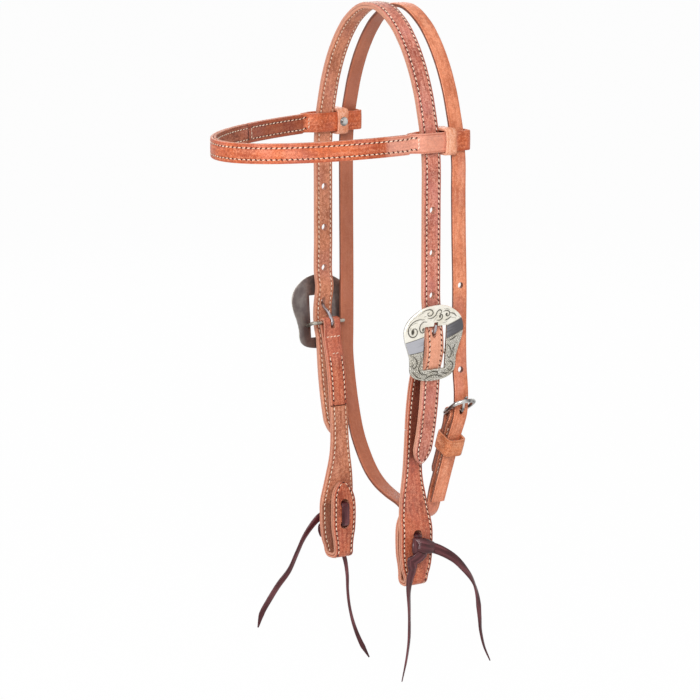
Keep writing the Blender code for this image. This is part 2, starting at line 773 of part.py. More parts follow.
def cheek_route():
    """Middle of the doubled cheek from the bar, down, round the bit loop and up the flap."""
    foot = -cheek_foot + half_strap
    outer, inner = loop_middle + loop_half, loop_middle - loop_half
    low = foot + loop_round
    high = tie_low - strap_width / 2
    points = [bar_middle]
    run = bar_middle.z + tie_high
    points += [Vector((loop_middle - loop_half * 0.13 + (bar_middle.x - loop_middle) * lean_share,
                       0, bar_middle.z - run * down)) for lean_share, down in cheek_shares]
    points += [Vector((outer, 0, -tie_high)), Vector((outer, 0, -high)), Vector((outer, 0, -tie_low)),
               Vector((outer, 0, low))]
    upper = thinned(curve_through(points))
    right = arc(Vector((outer - loop_round, 0, low)), loop_round, 0, -90, 5)
    left = arc(Vector((inner + loop_round, 0, low)), loop_round, -90, -180, 5)
    tip = foot + flap_height
    lap = half_strap * 2 + clearance * 2
    main_at_tip = min(upper, key=lambda p: abs(p.z - tip)).x
    flap = [Vector((inner, 0, low)), Vector((inner, 0, -tie_low)),
            Vector((inner, 0, -tie_high)),
            Vector((inner + (main_at_tip - lap - inner) * 0.55, 0, (tip - tie_high) / 2)),
            Vector((main_at_tip - lap, 0, tip))]
    flap = thinned(curve_through(flap), turn_deg=5)
    return upper[:-1] + right + left + flap[1:], len(upper) - 1


cheek_shares = ((0.88, 0.09), (0.53, 0.215), (0.31, 0.34), (0.17, 0.485), (0.07, 0.62), (0.05, 0.735),
                (0.13, 0.835), (0.28, 0.925))


def cheek_frames():
    """Points, normals, runs and half widths along the doubled cheek."""
    points, foot_number = cheek_route()
    points = with_tip(points, tail_point)
    normals = normals_of(points, along_y)
    runs = lengths(points)
    foot = runs[foot_number]
    high = foot - (cheek_foot - tie_high)
    rest, flap = foot - high, runs[-1] - foot
    places = [high * share for share in (0.0, 0.37, 0.71, 0.884, 0.987)]
    places += [high + rest * share for share in (0.26, 0.55, 0.80, 0.96)]
    places += [foot + flap * share for share in (0.11, 0.22, 0.34, 0.45, 0.64)]
    places += [runs[-1] - tail_point * share for share in (1.0, 0.45, 0.15, 0.0)]
    halves = (strap_width / 2, strap_width / 2, cheek_neck / 2, cheek_wide * 0.41,
              cheek_wide * 0.48, cheek_wide / 2, cheek_wide * 0.49, cheek_wide * 0.44,
              cheek_wide * 0.36, cheek_fold / 2, flap_wide * 0.375, flap_wide * 0.41,
              flap_wide * 0.475, flap_wide / 2, flap_wide * 0.46, flap_wide * 0.34,
              flap_wide * 0.22, flap_tip / 2)
    return [(p, n, run, table(places, halves, run)) for p, n, run in zip(points, normals, runs)]


def spread(run):
    """How far each layer's middle stands from the strap's: wide round the bar, then close."""
    open_half = bar_wire + clearance + ply / 2
    return layer_shift + (open_half - layer_shift) * (1 - eased(run / (step_down / 4)))


def cheek_outer_stations():
    frames = [frame for frame in cheek_frames() if frame[2] > tight]
    half = strap_width / 2
    inner_leg = [(p, -n, along_y, half, spread(run) - ply / 2, spread(run) + ply / 2)
                 for p, n, run, _ in frames if run < step_down - overrun]
    ahead = next(frame for frame in frames if frame[2] >= step_down - overrun)
    before = [frame for frame in frames if frame[2] < step_down - overrun][-1]
    share = (step_down - before[2]) / (ahead[2] - before[2]) if ahead[2] > step_down else 1.0
    end = before[0].lerp(ahead[0], share)
    inner_leg.append((end, -before[1].lerp(ahead[1], share).normalized(), along_y, half,
                      layer_shift - ply / 2, layer_shift + ply / 2))
    first = frames[0][1]
    start_deg = math.degrees(math.atan2(first.z, first.x))
    low = bar_wire + clearance
    around = []
    count = 10
    for step in range(count + 1):
        angle = math.radians(start_deg + 180 - 180 * step / count)
        normal = Vector((math.cos(angle), 0, math.sin(angle)))
        around.append((bar_middle, normal, along_y, half, low, low + ply))
    outer_leg = [(p, n, along_y, width, spread(run) - ply / 2, spread(run) + ply / 2)
                 for p, n, run, width in frames]
    return list(reversed(inner_leg)) + around + outer_leg


def cheek_lining_stations():
    frames = cheek_frames()
    after = [frame for frame in frames if frame[2] > step_down + overrun]
    before = [frame for frame in frames if frame[2] <= step_down + overrun][-1]
    target = step_down + ply_gap
    share = (target - before[2]) / (after[0][2] - before[2])
    start = (before[0].lerp(after[0][0], share), before[1].lerp(after[0][1], share).normalized(),
             target, before[3] + (after[0][3] - before[3]) * share)
    return [(p, n, along_y, width, -layer_shift - ply / 2, -layer_shift + ply / 2)
            for p, n, _, width in [start, *after]]


def tie_pins(hand):
    mesh = bmesh.new()
    middle_x = loop_middle * hand
    reach = loop_half + half_strap + overrun
    for drop in (tie_high, tie_low):
        pin(mesh, Vector((middle_x, 0, -drop)), Vector((hand, 0, 0)), along_y, tie_slot_wide / 2,
            tie_slot_high / 2, reach)
    return mesh


def prong_cutter(hand):
    """Slot through the fold for the tongue's eye, open over the top of the bar."""
    mesh = bmesh.new()
    first = [frame for frame in cheek_frames() if frame[2] > tight][0][1]
    down = Vector((first.z, 0, -first.x))
    middle = bar_middle - down * (ply * 0.3)
    flip = Vector((hand, 1, 1))
    long_half = (bar_wire + ply) * 1.65
    axes = (along_y, first * flip, down * flip)
    return block(mesh, middle * flip, axes, (prong_slot / 2, ply * 2 + bar_wire * 2, long_half))


def make_cheek(word, hand, looks):
    pivot = Vector((hand * bar_middle.x, 0, bar_middle.z))
    outer, lining = cheek_outer_stations(), cheek_lining_stations()
    if hand < 0:
        outer, lining = mirrored(outer), mirrored(lining)
    outside = node(f"{word}_cheek_outer_ply", strip(outer), looks["cheek"], pivot)
    inside = node(f"{word}_cheek_lining_ply", strip(lining, "inner"), looks["cheek_lining"], pivot)
    pins = cut(outside, tie_pins(hand), f"{word}_tie_hole_pins")
    subtract(inside, pins)
    cut(outside, prong_cutter(hand), f"{word}_fold_slot")
    make_tie(word, hand, looks, pivot)


def tie_route():
    """Thong from the knot through both holes and along the inside of the flap."""
    face = loop_middle + loop_half + half_strap + clearance + thong_thick / 2
    back = loop_middle - loop_half - half_strap - clearance - thong_thick / 2
    turn = thong_thick
    hook = tie_low - (tie_low - tie_high) * 0.68
    high, low = -tie_high, -tie_low
    end = loop_middle + loop_half + half_strap
    return [Vector((face, 0, -hook)), Vector((face, 0, high - turn)),
            Vector((face - turn * 0.4, 0, high - turn * 0.4)), Vector((face - turn, 0, high)),
            Vector((back + turn, 0, high)), Vector((back + turn * 0.4, 0, high - turn * 0.4)),
            Vector((back, 0, high - turn)), Vector((back, 0, low + turn)),
            Vector((back + turn * 0.4, 0, low + turn * 0.4)), Vector((back + turn, 0, low)),
            Vector((end, 0, low))]


def knot_middle():
    face = loop_middle + loop_half + half_strap + clearance
    drop = (tie_low + (tie_low - tie_high) * 0.12)
    return Vector((face + knot_deep / 2, knot_wide * 0.04, -drop))


def make_tie(word, hand, looks, pivot):
    route = tie_route()
    normals = normals_of(route, along_y)
    stations = [(point, normal, along_y, thong_wide / 2, -thong_thick / 2, thong_thick / 2)
                for point, normal in zip(route, normals)]
    if hand < 0:
        stations = mirrored(stations)
    node(f"{word}_tie_loop", strip(stations, "both"), looks["tie"], pivot)
    make_knot(word, hand, looks, pivot)


def knot_rise(across, high):
    """Height of the knot's face at a place on it: a dome with two flat wraps laid across."""
    dome = 0.78 * math.sqrt(max(0.0, 1 - 0.92 * (across * across + high * high)))
    lift = 0.0
    for slant_deg, offset, wide, deep in knot_wrap_shares:
        slant = math.radians(slant_deg)
        away = abs(across * math.sin(slant) - high * math.cos(slant) + offset)
        lift = max(lift, deep * eased((wide - away) / (wide * 0.45)))
    return dome + lift * (0.35 + 0.65 * dome)


def make_knot(word, hand, looks, pivot):
    middle = knot_middle() * Vector((hand, 1, 1))
    out = Vector((hand, 0, 0))
    spokes = 20
    rings = []
    for size, rise in ((0.55, -1.0), (0.86, -0.72), (1.0, -0.1), (0.94, None), (0.8, None),
                       (0.6, None), (0.36, None), (0.13, None)):
        ring = []
        for k in range(spokes):
            across = math.cos(math.tau * k / spokes) * size
            high = math.sin(math.tau * k / spokes) * size
            level = knot_rise(across, high) if rise is None else rise
            ring.append(middle + out * (knot_deep / 2 * level) + along_y * (across * knot_wide / 2)
                        + along_z * (high * knot_high / 2))
        rings.append(ring)
    node(f"{word}_tie_knot", skin(rings), looks["tie"], pivot)


def make_tails(looks, pivots):
    for name, route in tail_route_shares.items():
        hand = "near" if name.startswith("near") else "off"
        start = knot_middle() * Vector((1 if hand == "near" else -1, 0, 1))
        places = [start + Vector(place) * tail_unit for place in route]
        points = thinned(curve_through(places), turn_deg=8, reach=tail_wide * 1.8)
        runs = lengths(points)
        stations = []
        for number, here in enumerate(points):
            before = points[max(number - 1, 0)]
            after = points[min(number + 1, len(points) - 1)]
            heading = (after - before).normalized()
            out = Vector((1, 0, 0)) - heading * heading.x
            out.normalize()
            side = out.cross(heading).normalized()
            width = table((0, 0.72, 1.0), (tail_wide, tail_wide * 0.62, tail_tip),
                          runs[number] / runs[-1])
            stations.append((here, out, side, width / 2, -thong_thick / 2, thong_thick / 2))
        node(name, strip(stations, "both"), looks["tie"], pivots[hand])


leg_lean = math.radians(throat_leg_lean_deg)
leg_down = Vector((-math.sin(leg_lean), 0, -math.cos(leg_lean)))
leg_out = Vector((math.cos(leg_lean), 0, -math.sin(leg_lean)))
throat_bar = Vector((throat_span - throat_bar_inset, throat_near_back, -throat_bar_drop))
leg_shift = (throat_ply + ply_gap) / 2
billet_shift = throat_ply * 1.5 + ply_gap / 2 + throat_billet_gap


def throat_level(x, z):
    """A point of the throatlatch: below the browband it moves in and back, past the buckles."""
    share = eased((-z - throat_shift_from) / (throat_hole_drop - throat_shift_from))
    middle = (throat_near_back + throat_off_back) / 2
    level = middle + (throat_near_back - throat_off_back) / 2 * x / (throat_span - throat_inset)
    inward = throat_inset * share * (1 if x > 0 else -1) if abs(x) > throat_span - throat_ply else 0
    return Vector((x - inward, throat_back + (level - throat_back) * share, z))


def billet_line(run):
    return throat_bar + leg_down * run + leg_out * billet_shift


def throat_points():
    """From the near billet's end up over the poll, down the off side and up to the bar."""
    straight = [billet_line(throat_tail), billet_line(throat_tail * 0.86),
                billet_line(throat_tail * 0.68), billet_line(throat_tail * 0.44),
                billet_line(throat_tail * 0.22)]
    out = throat_span + throat_bulge
    billet = straight + [throat_level(out - throat_bulge * back, up * throat_width - throat_bar_drop)
                         for back, up in billet_shares]
    upright = arch_drop + throat_width * 1.5
    billet += [throat_level(throat_span, -throat_hole_drop),
               throat_level(throat_span, -(upright + throat_hole_drop) / 2),
               throat_level(throat_span, -upright)]
    fall = arch_drop + crown_top - (throat_span - half_span) / 2
    top = throat_ply / 2
    arch = [throat_level(half_span * out + (throat_span - half_span) * down, top - fall * down)
            for out, down in arch_shares]
    middle = [throat_level(poll_flat / 2, top), throat_level(-poll_flat / 2, top)]
    over = list(reversed(arch)) + middle + flipped(arch)
    off = [throat_level(-throat_span, z) for z in
           (-upright, -(upright + throat_hole_drop) / 2, -throat_hole_drop,
            -throat_hole_drop - throat_deep * 0.3)]
    sling = [throat_level(throat_span * across, -throat_hole_drop - throat_deep * low)
             for across, low in sling_shares]
    lower = [throat_bar + leg_down * run + leg_out * leg_shift
             for run in (throat_leg + throat_width * 3, throat_leg + throat_width,
                         throat_leg * 0.8, throat_leg / 2, throat_width)]
    return billet + over + off + sling + lower


def throat_spread(run):
    open_half = throat_wire + clearance + throat_ply / 2
    return leg_shift + (open_half - leg_shift) * (1 - eased(run / throat_width))


def make_throat(looks):
    origin = Vector((0, throat_back, 0))
    route = thinned(curve_through(throat_points()))
    normals = normals_of(route, -along_y)
    half = throat_width / 2
    stations = [(p, n, along_y, half, -throat_ply / 2, throat_ply / 2)
                for p, n in zip(route, normals)]
    fall = [throat_width * share for share in (0.75, 0.5, 0.25, 0.1)]
    for run in fall:
        centre = throat_bar + leg_down * run
        stations.append((centre, leg_out, along_y, half, throat_spread(run) - throat_ply / 2,
                         throat_spread(run) + throat_ply / 2))
    low = throat_wire + clearance
    start_deg = -throat_leg_lean_deg
    count = 10
    for step in range(count + 1):
        angle = math.radians(start_deg + 180 * step / count)
        normal = Vector((math.cos(angle), 0, math.sin(angle)))
        stations.append((throat_bar, normal, along_y, half, low, low + throat_ply))
    runs = [throat_width * share for share in (0.1, 0.25, 0.5, 0.75, 1.0)]
    runs += [throat_leg / 2, throat_leg * 0.85, throat_leg]
    for run in runs:
        centre = throat_bar + leg_down * run
        width = half * (0.8 if run == throat_leg else 1.0)
        stations.append((centre, -leg_out, along_y, width, throat_spread(run) - throat_ply / 2,
                         throat_spread(run) + throat_ply / 2))
    strap = node("throatlatch_strap", strip(stations, "both"), looks["throat"], origin)
    cut(strap, throat_pins(), "throat_hole_pins")
    cut(strap, throat_slot(), "throat_fold_slot")
    make_throat_frame(looks)
    make_throat_prong(looks)
    make_throat_keeper(looks)


def throat_holes():
    return [-throat_hole_drop - throat_hole_pitch * k for k in range(3)]


def throat_pins():
    mesh = bmesh.new()
    for z in throat_holes():
        pin(mesh, throat_level(throat_span, z), Vector((1, 0, 0)), along_y, throat_hole / 2,
            throat_hole / 2, throat_ply + overrun)
    along, up = throat_frame_axes()
    middle = throat_bar + along * (throat_frame_reach * 0.5) + up * (throat_prong_lift() * 1.1)
    pin(mesh, middle, along, along_y, throat_hole * 0.36, throat_hole * 0.56, throat_ply * 1.6)
    return mesh


def throat_slot():
    """Slot through the fold for the tongue's eye, open over the top of the bar."""
    middle = throat_bar - leg_down * (throat_ply * 0.4)
    return block(bmesh.new(), middle, (along_y, leg_out, leg_down),
                 (throat_prong + clearance * 2, throat_ply * 1.2 + throat_wire,
                  (throat_wire + throat_ply) * 1.5))


def throat_prong_lift():
    return (throat_wire + throat_prong + clearance) * 0.8


def throat_frame_axes():
    rise = math.radians(throat_frame_rise_deg)
    along = Vector((math.cos(rise), 0, math.sin(rise)))
    return along, Vector((-math.sin(rise), 0, math.cos(rise)))


def make_throat_frame(looks):
    """Closed wire frame: straight bar in the fold, rounded outer end."""
    along, up = throat_frame_axes()
    reach, half = throat_frame_reach, throat_frame_half
    corner, round_end = throat_wire * 1.6, half * 0.72
    outline = []
    for middle_a, middle_b, radius, from_deg in (
            (corner, half - corner, corner, 180), (reach - round_end, half - round_end, round_end, 90),
            (reach - round_end, round_end - half, round_end, 0), (corner, corner - half, corner, -90)):
        for step in range(5):
            angle = math.radians(from_deg - 90 * step / 4)
            outline.append((middle_a + math.cos(angle) * radius,
                            middle_b + math.sin(angle) * radius))
    points = [throat_bar + along * a + along_y * b for a, b in outline]
    node("throat_buckle_frame", tube(points, throat_wire, up, True), looks["nickel"], throat_bar)


def make_throat_prong(looks):
    along, up = throat_frame_axes()
    eye = throat_wire + clearance + throat_prong
    points = []
    for step in range(12):
        angle = math.radians(-20 - 245 * step / 11)
        points.append((math.cos(angle) * eye, math.sin(angle) * eye))
    lift = throat_prong_lift() / 0.8
    route = [points[-1], (eye * 0.7, eye * 1.15), (throat_frame_reach * 0.5, lift * 0.93),
             (throat_frame_reach * 0.85, lift * 0.86), (throat_frame_reach * 1.0, lift * 1.08),
             (throat_frame_reach + throat_wire * 0.9, lift * 1.0)]
    smooth = curve_through([Vector((a, 0, b)) for a, b in route], 3)
    line = [throat_bar + along * a + up * b for a, b in points[:-1]]
    line += [throat_bar + along * p.x + up * p.z for p in smooth]
    count = len(line)
    radius = [throat_prong * (1.0 if k < count - 2 else 0.7) for k in range(count)]
    node("throat_buckle_tongue", tube(line, radius, along_y), looks["nickel"], throat_bar)


def make_throat_keeper(looks):
    """Leather ring round the folded leg and the billet."""
    low = -leg_shift - throat_ply / 2 - keeper_play / 2
    high = billet_shift + throat_ply / 2 + keeper_slack
    half_y = throat_width / 2 + keeper_play / 2
    middle = throat_bar + leg_down * keeper_down + leg_out * ((low + high) / 2)
    half = (high - low) / 2
    mesh = bmesh.new()
    outline = rounded(half + keeper_wall, half_y + keeper_wall, keeper_wall * 1.9, 3)
    inner = rounded(half, half_y, keeper_wall / 2, 3)
    ringed(mesh, middle, (leg_out, along_y, leg_down), outline, inner, keeper_height / 2)
    node("throat_keeper", mesh, looks["ring"], middle)


def main():
    clear()
    looks = {
        "crown": look("crown_leather", leather, 0.5, 0),
        "crown_lining": look("crown_lining_leather", dark_leather, 0.6, 0),
        "band": look("browband_leather", leather, 0.5, 0),
        "band_lining": look("browband_lining_leather", dark_leather, 0.6, 0),
        "cheek": look("cheek_leather", leather, 0.5, 0),
        "cheek_lining": look("cheek_lining_leather", dark_leather, 0.6, 0),
        "throat": look("throatlatch_leather", leather, 0.5, 0),
        "ring": look("keeper_leather", leather, 0.55, 0),
        "tie": look("latigo", latigo, 0.6, 0),
        "plate": look("antique_silver", silver, 0.35, 1),
        "tongue": look("buckle_tongue_steel", silver, 0.3, 1),
        "rivet": look("rivet_steel", nickel, 0.3, 1),
        "nickel": look("nickel_plate", nickel, 0.25, 1),
    }
    make_crown(looks)
    make_browband(looks)
    pivots = {}
    for hand, word in ((1, "near"), (-1, "off")):
        make_plate(word, hand, looks)
        make_bar(word, hand, looks)
        make_prong(word, hand, looks)
        make_cheek(word, hand, looks)
        pivots[word] = Vector((hand * bar_middle.x, 0, bar_middle.z))
    make_tails(looks, pivots)
    make_throat(looks)


main()
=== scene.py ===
import math

import bmesh
import bpy
import numpy as np
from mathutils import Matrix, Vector


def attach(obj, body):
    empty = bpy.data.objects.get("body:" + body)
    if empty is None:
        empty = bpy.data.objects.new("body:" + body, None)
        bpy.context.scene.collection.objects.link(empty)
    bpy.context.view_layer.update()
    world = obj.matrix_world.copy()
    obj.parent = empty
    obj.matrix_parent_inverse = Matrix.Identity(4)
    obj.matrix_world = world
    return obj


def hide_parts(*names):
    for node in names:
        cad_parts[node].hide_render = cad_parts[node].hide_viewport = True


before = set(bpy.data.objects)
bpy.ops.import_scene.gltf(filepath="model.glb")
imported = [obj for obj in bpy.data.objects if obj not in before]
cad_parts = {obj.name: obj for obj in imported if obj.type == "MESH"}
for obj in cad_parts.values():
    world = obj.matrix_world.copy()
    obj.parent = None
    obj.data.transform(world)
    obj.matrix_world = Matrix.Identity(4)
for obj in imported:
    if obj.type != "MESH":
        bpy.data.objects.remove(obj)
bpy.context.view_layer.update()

# Sizes shared by all straps, in metres, mostly as the solids have them
strap = {
    "width": 0.016, "ply": 0.0023, "gap": 0.0003, "rowInset": 0.0023, "pitch": 0.0041,
    "rim": 0.0008, "swell": 0.00018, "step": 0.0014, "bandStep": 0.0012, "cheekStep": 0.0009,
    "looseStep": 0.0016, "wireStep": 0.0006, "laceStep": 0.0007,
}
crown = {
    "pollFlat": 0.012, "halfSpan": 0.080, "archDrop": 0.120, "barDrop": 0.269, "barSpan": 0.0766,
    "leanDeg": 5.0, "tailLength": 0.073, "tailLeanDeg": 8.5, "tailPoint": 0.013,
    "plateTop": 0.0397, "plateFoot": 0.0230, "holePitch": 0.0344, "holeBore": 0.0058,
    "bow": ((0.0300, 0.0008), (0.0222, 0.0026), (0.0150, 0.0048), (0.0050, 0.0064), (-0.0040, 0.0062),
            (-0.0095, 0.0050), (-0.0140, 0.0038), (-0.0190, 0.0037), (-0.0230, 0.0036)),
    "holeFirst": 0.0112, "tongueHole": (0.0163, 0.0058), "tongueSlot": (0.0021, 0.0043), "cutReach": 0.008,
    "tailBow": ((0.3, 0.0046), (0.65, 0.0036), (1.0, 0.0)), "aside": 0.0012,
    # pale is a stretch of painted light on the strap in the buckle's window (before, after, strength), and
    # tailShade painted shade along the billets
    "pale": (0.020, 0.023, -0.75), "tailShade": 0.15,
    "arch": ((0.14, 0.008), (0.26, 0.038), (0.4375, 0.114), (0.5375, 0.179), (0.625, 0.249),
             (0.75, 0.379), (0.856, 0.535), (0.9125, 0.657), (0.9575, 0.771),
             (0.986, 0.886), (1.0, 1.0)),
}

ply, gap = strap["ply"], strap["gap"]
layerShift = (ply + gap) / 2
halfStrap = ply + gap / 2
sideways = Vector((0, 1, 0))
upright = Vector((0, 0, 1))
lean = math.radians(crown["leanDeg"])
plateOut = Vector((math.cos(lean), 0, -math.sin(lean)))
plateUp = Vector((math.sin(lean), 0, math.cos(lean)))
barLevel = Vector((crown["barSpan"], 0, -crown["barDrop"]))
barBack = 0.0072         # from the buckle's own level, which leans, back to its bar
barMiddle = barLevel - plateOut * barBack


# Lines and tables

# A smooth curve that passes through every point without loops between close ones
def curveThrough(points, fine=14):
    points = [Vector(p) for p in points]
    points = [points[0] * 2 - points[1], *points, points[-1] * 2 - points[-2]]
    made = []
    for a, b, c, d in zip(points, points[1:], points[2:], points[3:]):
        t1 = math.sqrt((b - a).length)
        t2 = t1 + math.sqrt((c - b).length)
        t3 = t2 + math.sqrt((d - c).length)
        for number in range(fine):
            t = t1 + (t2 - t1) * number / fine
            ab = a * ((t1 - t) / t1) + b * (t / t1)
            bc = b * ((t2 - t) / (t2 - t1)) + c * ((t - t1) / (t2 - t1))
            cd = c * ((t3 - t) / (t3 - t2)) + d * ((t - t2) / (t3 - t2))
            abc = ab * ((t2 - t) / t2) + bc * (t / t2)
            bcd = bc * ((t3 - t) / (t3 - t1)) + cd * ((t - t1) / (t3 - t1))
            made.append(abc * ((t2 - t) / (t2 - t1)) + bcd * ((t - t1) / (t2 - t1)))
    made.append(points[-2])
    return made


# Length along a line, at each of its points
def runsOf(points):
    total, made = 0.0, [0.0]
    for a, b in zip(points, points[1:]):
        total += (b - a).length
        made.append(total)
    return made


def stationRuns(stations):
    return runsOf([station[0] for station in stations])


# The same line with points at even steps
def evenly(points, step=strap["step"]):
    runs = runsOf(points)
    count = max(2, round(runs[-1] / step))
    made, k = [], 0
    for number in range(count + 1):
        want = runs[-1] * number / count
        while k < len(runs) - 2 and runs[k + 1] < want:
            k += 1
        share = (want - runs[k]) / max(runs[k + 1] - runs[k], 1e-9)
        made.append(points[k].lerp(points[k + 1], min(max(share, 0), 1)))
    return made


# A value read off between listed places
def table(places, values, where):
    return float(np.interp(where, places, values))


# 0 to 1 with a soft start and end
def eased(share):
    share = min(max(share, 0.0), 1.0)
    return share * share * (3 - 2 * share)


# Outward directions along a line whose strap has that direction across it
def normalsOf(points, side):
    made = []
    for number in range(len(points)):
        before = points[max(number - 1, 0)]
        after = points[min(number + 1, len(points) - 1)]
        made.append((after - before).normalized().cross(side).normalized())
    return made


# Part of a circle in its own plane
def arc(x, y, radius, fromDeg, sweepDeg, steps):
    turns = [math.radians(fromDeg + sweepDeg * k / steps) for k in range(steps + 1)]
    return [(x + math.cos(turn) * radius, y + math.sin(turn) * radius) for turn in turns]


# Points made for the near side, for either side: hand is 1 for near and -1 for off
def handed(points, hand):
    return [Vector((hand * p.x, p.y, p.z)) for p in points]


# A strap's stations are (point, outward, across, half width, low, high), here turned over for the off side
def otherHand(stations):
    flip = Vector((-1, 1, 1))
    return [(p * flip, n * flip, s * flip, half, low, high) for p, n, s, half, low, high in stations]


# Materials: a wrapped socket, so that shader maths reads as maths

class Value:
    def __init__(self, tree, socket):
        self.tree, self.socket = tree, socket

    def node(self, kind, settings=None, links=None, out=0):
        return makeNode(self.tree, kind, settings, links, out)

    def maths(self, operation, *others):
        links = {0: self}
        links.update({k + 1: other for k, other in enumerate(others)})
        return self.node("ShaderNodeMath", {"operation": operation}, links)

    def __add__(self, other): return self.maths("ADD", other)
    def __radd__(self, other): return self.maths("ADD", other)
    def __mul__(self, other): return self.maths("MULTIPLY", other)
    def __rmul__(self, other): return self.maths("MULTIPLY", other)
    def __sub__(self, other): return self.maths("SUBTRACT", other)
    def __truediv__(self, other): return self.maths("DIVIDE", other)
    def __neg__(self): return self.maths("MULTIPLY", -1)
    def __rsub__(self, other): return (-self) + other
    def __abs__(self): return self.maths("ABSOLUTE")

    def least(self, other): return self.maths("MINIMUM", other)
    def most(self, other): return self.maths("MAXIMUM", other)
    def fract(self): return self.maths("FRACT")
    def root(self): return self.maths("SQRT")

    def ramp(self, low, high, toLow=0.0, toHigh=1.0):
        settings = {"interpolation_type": "SMOOTHSTEP", "clamp": True}
        return self.node("ShaderNodeMapRange", settings, {0: self, 1: low, 2: high, 3: toLow, 4: toHigh})


def makeNode(tree, kind, settings=None, links=None, out=0):
    made = tree.nodes.new(kind)
    for name, value in (settings or {}).items():
        setattr(made, name, value)
    for name, value in (links or {}).items():
        socket = made.inputs[name]
        if isinstance(value, Value):
            tree.links.new(value.socket, socket)
        elif isinstance(value, (tuple, list)) and socket.type == "RGBA":
            socket.default_value = (*value[:3], 1)
        else:
            socket.default_value = value
    return Value(tree, made.outputs[out])


def mixed(share, one, two):
    settings = {"data_type": "RGBA", "clamp_factor": True}
    return share.node("ShaderNodeMix", settings, {0: share, 6: one, 7: two}, out=2)


# Screen colours 0 to 255, as the shader takes them
def linear(*srgb):
    return tuple((c / 255 / 12.92) if c <= 10 else ((c / 255 + 0.055) / 1.055) ** 2.4 for c in srgb)


def startMaterial(name):
    made = bpy.data.materials.new(name)
    made.use_nodes = True
    tree = made.node_tree
    shader = tree.nodes["Principled BSDF"]
    place = makeNode(tree, "ShaderNodeTexCoord", out=3)
    return made, tree, shader, place


def noise(place, scale, detail=3.0, rough=0.55):
    return place.node("ShaderNodeTexNoise", None,
                      {"Vector": place, "Scale": scale, "Detail": detail, "Roughness": rough})


# Noise drawn out into streaks along one of a piece's own directions
def streaks(tree, x, y, z, detail=2, rough=0.55):
    return noise(makeNode(tree, "ShaderNodeCombineXYZ", None, {0: x, 1: y, 2: z}), 1.0, detail, rough)


# Both values of one of a piece's own maps
def mapOf(tree, name):
    read = makeNode(tree, "ShaderNodeUVMap", {"uv_map": name})
    split = read.node("ShaderNodeSeparateXYZ", None, {0: read})
    return split, Value(tree, split.socket.node.outputs[1])


def finishMaterial(tree, shader, colour, roughness, height, depth, metallic=0.0, coat=0.0, specular=0.5):
    tree.links.new(colour.socket, shader.inputs["Base Color"])
    if isinstance(roughness, Value):
        tree.links.new(roughness.socket, shader.inputs["Roughness"])
    else:
        shader.inputs["Roughness"].default_value = roughness
    shader.inputs["Metallic"].default_value = metallic
    shader.inputs["Specular IOR Level"].default_value = specular
    shader.inputs["Coat Weight"].default_value = coat
    shader.inputs["Coat Roughness"].default_value = 0.3
    bump = makeNode(tree, "ShaderNodeBump", None, {"Strength": 1.0, "Distance": depth, "Height": height})
    tree.links.new(bump.socket, shader.inputs["Normal"])


# Sizes of the patterns in leather, as noise scales, and the depth of its grain in metres
hide = {"wide": 42, "mottle": 330, "grain": 1300, "pores": 780, "fleck": 520, "blush": 24, "depth": 0.00012}

# An awl hole is a slanting slit in a pressed line: half width of the line, and the slit's rim and core
awl = {"press": 0.0009, "rim": 0.0008, "core": 0.00042, "slant": 0.6}
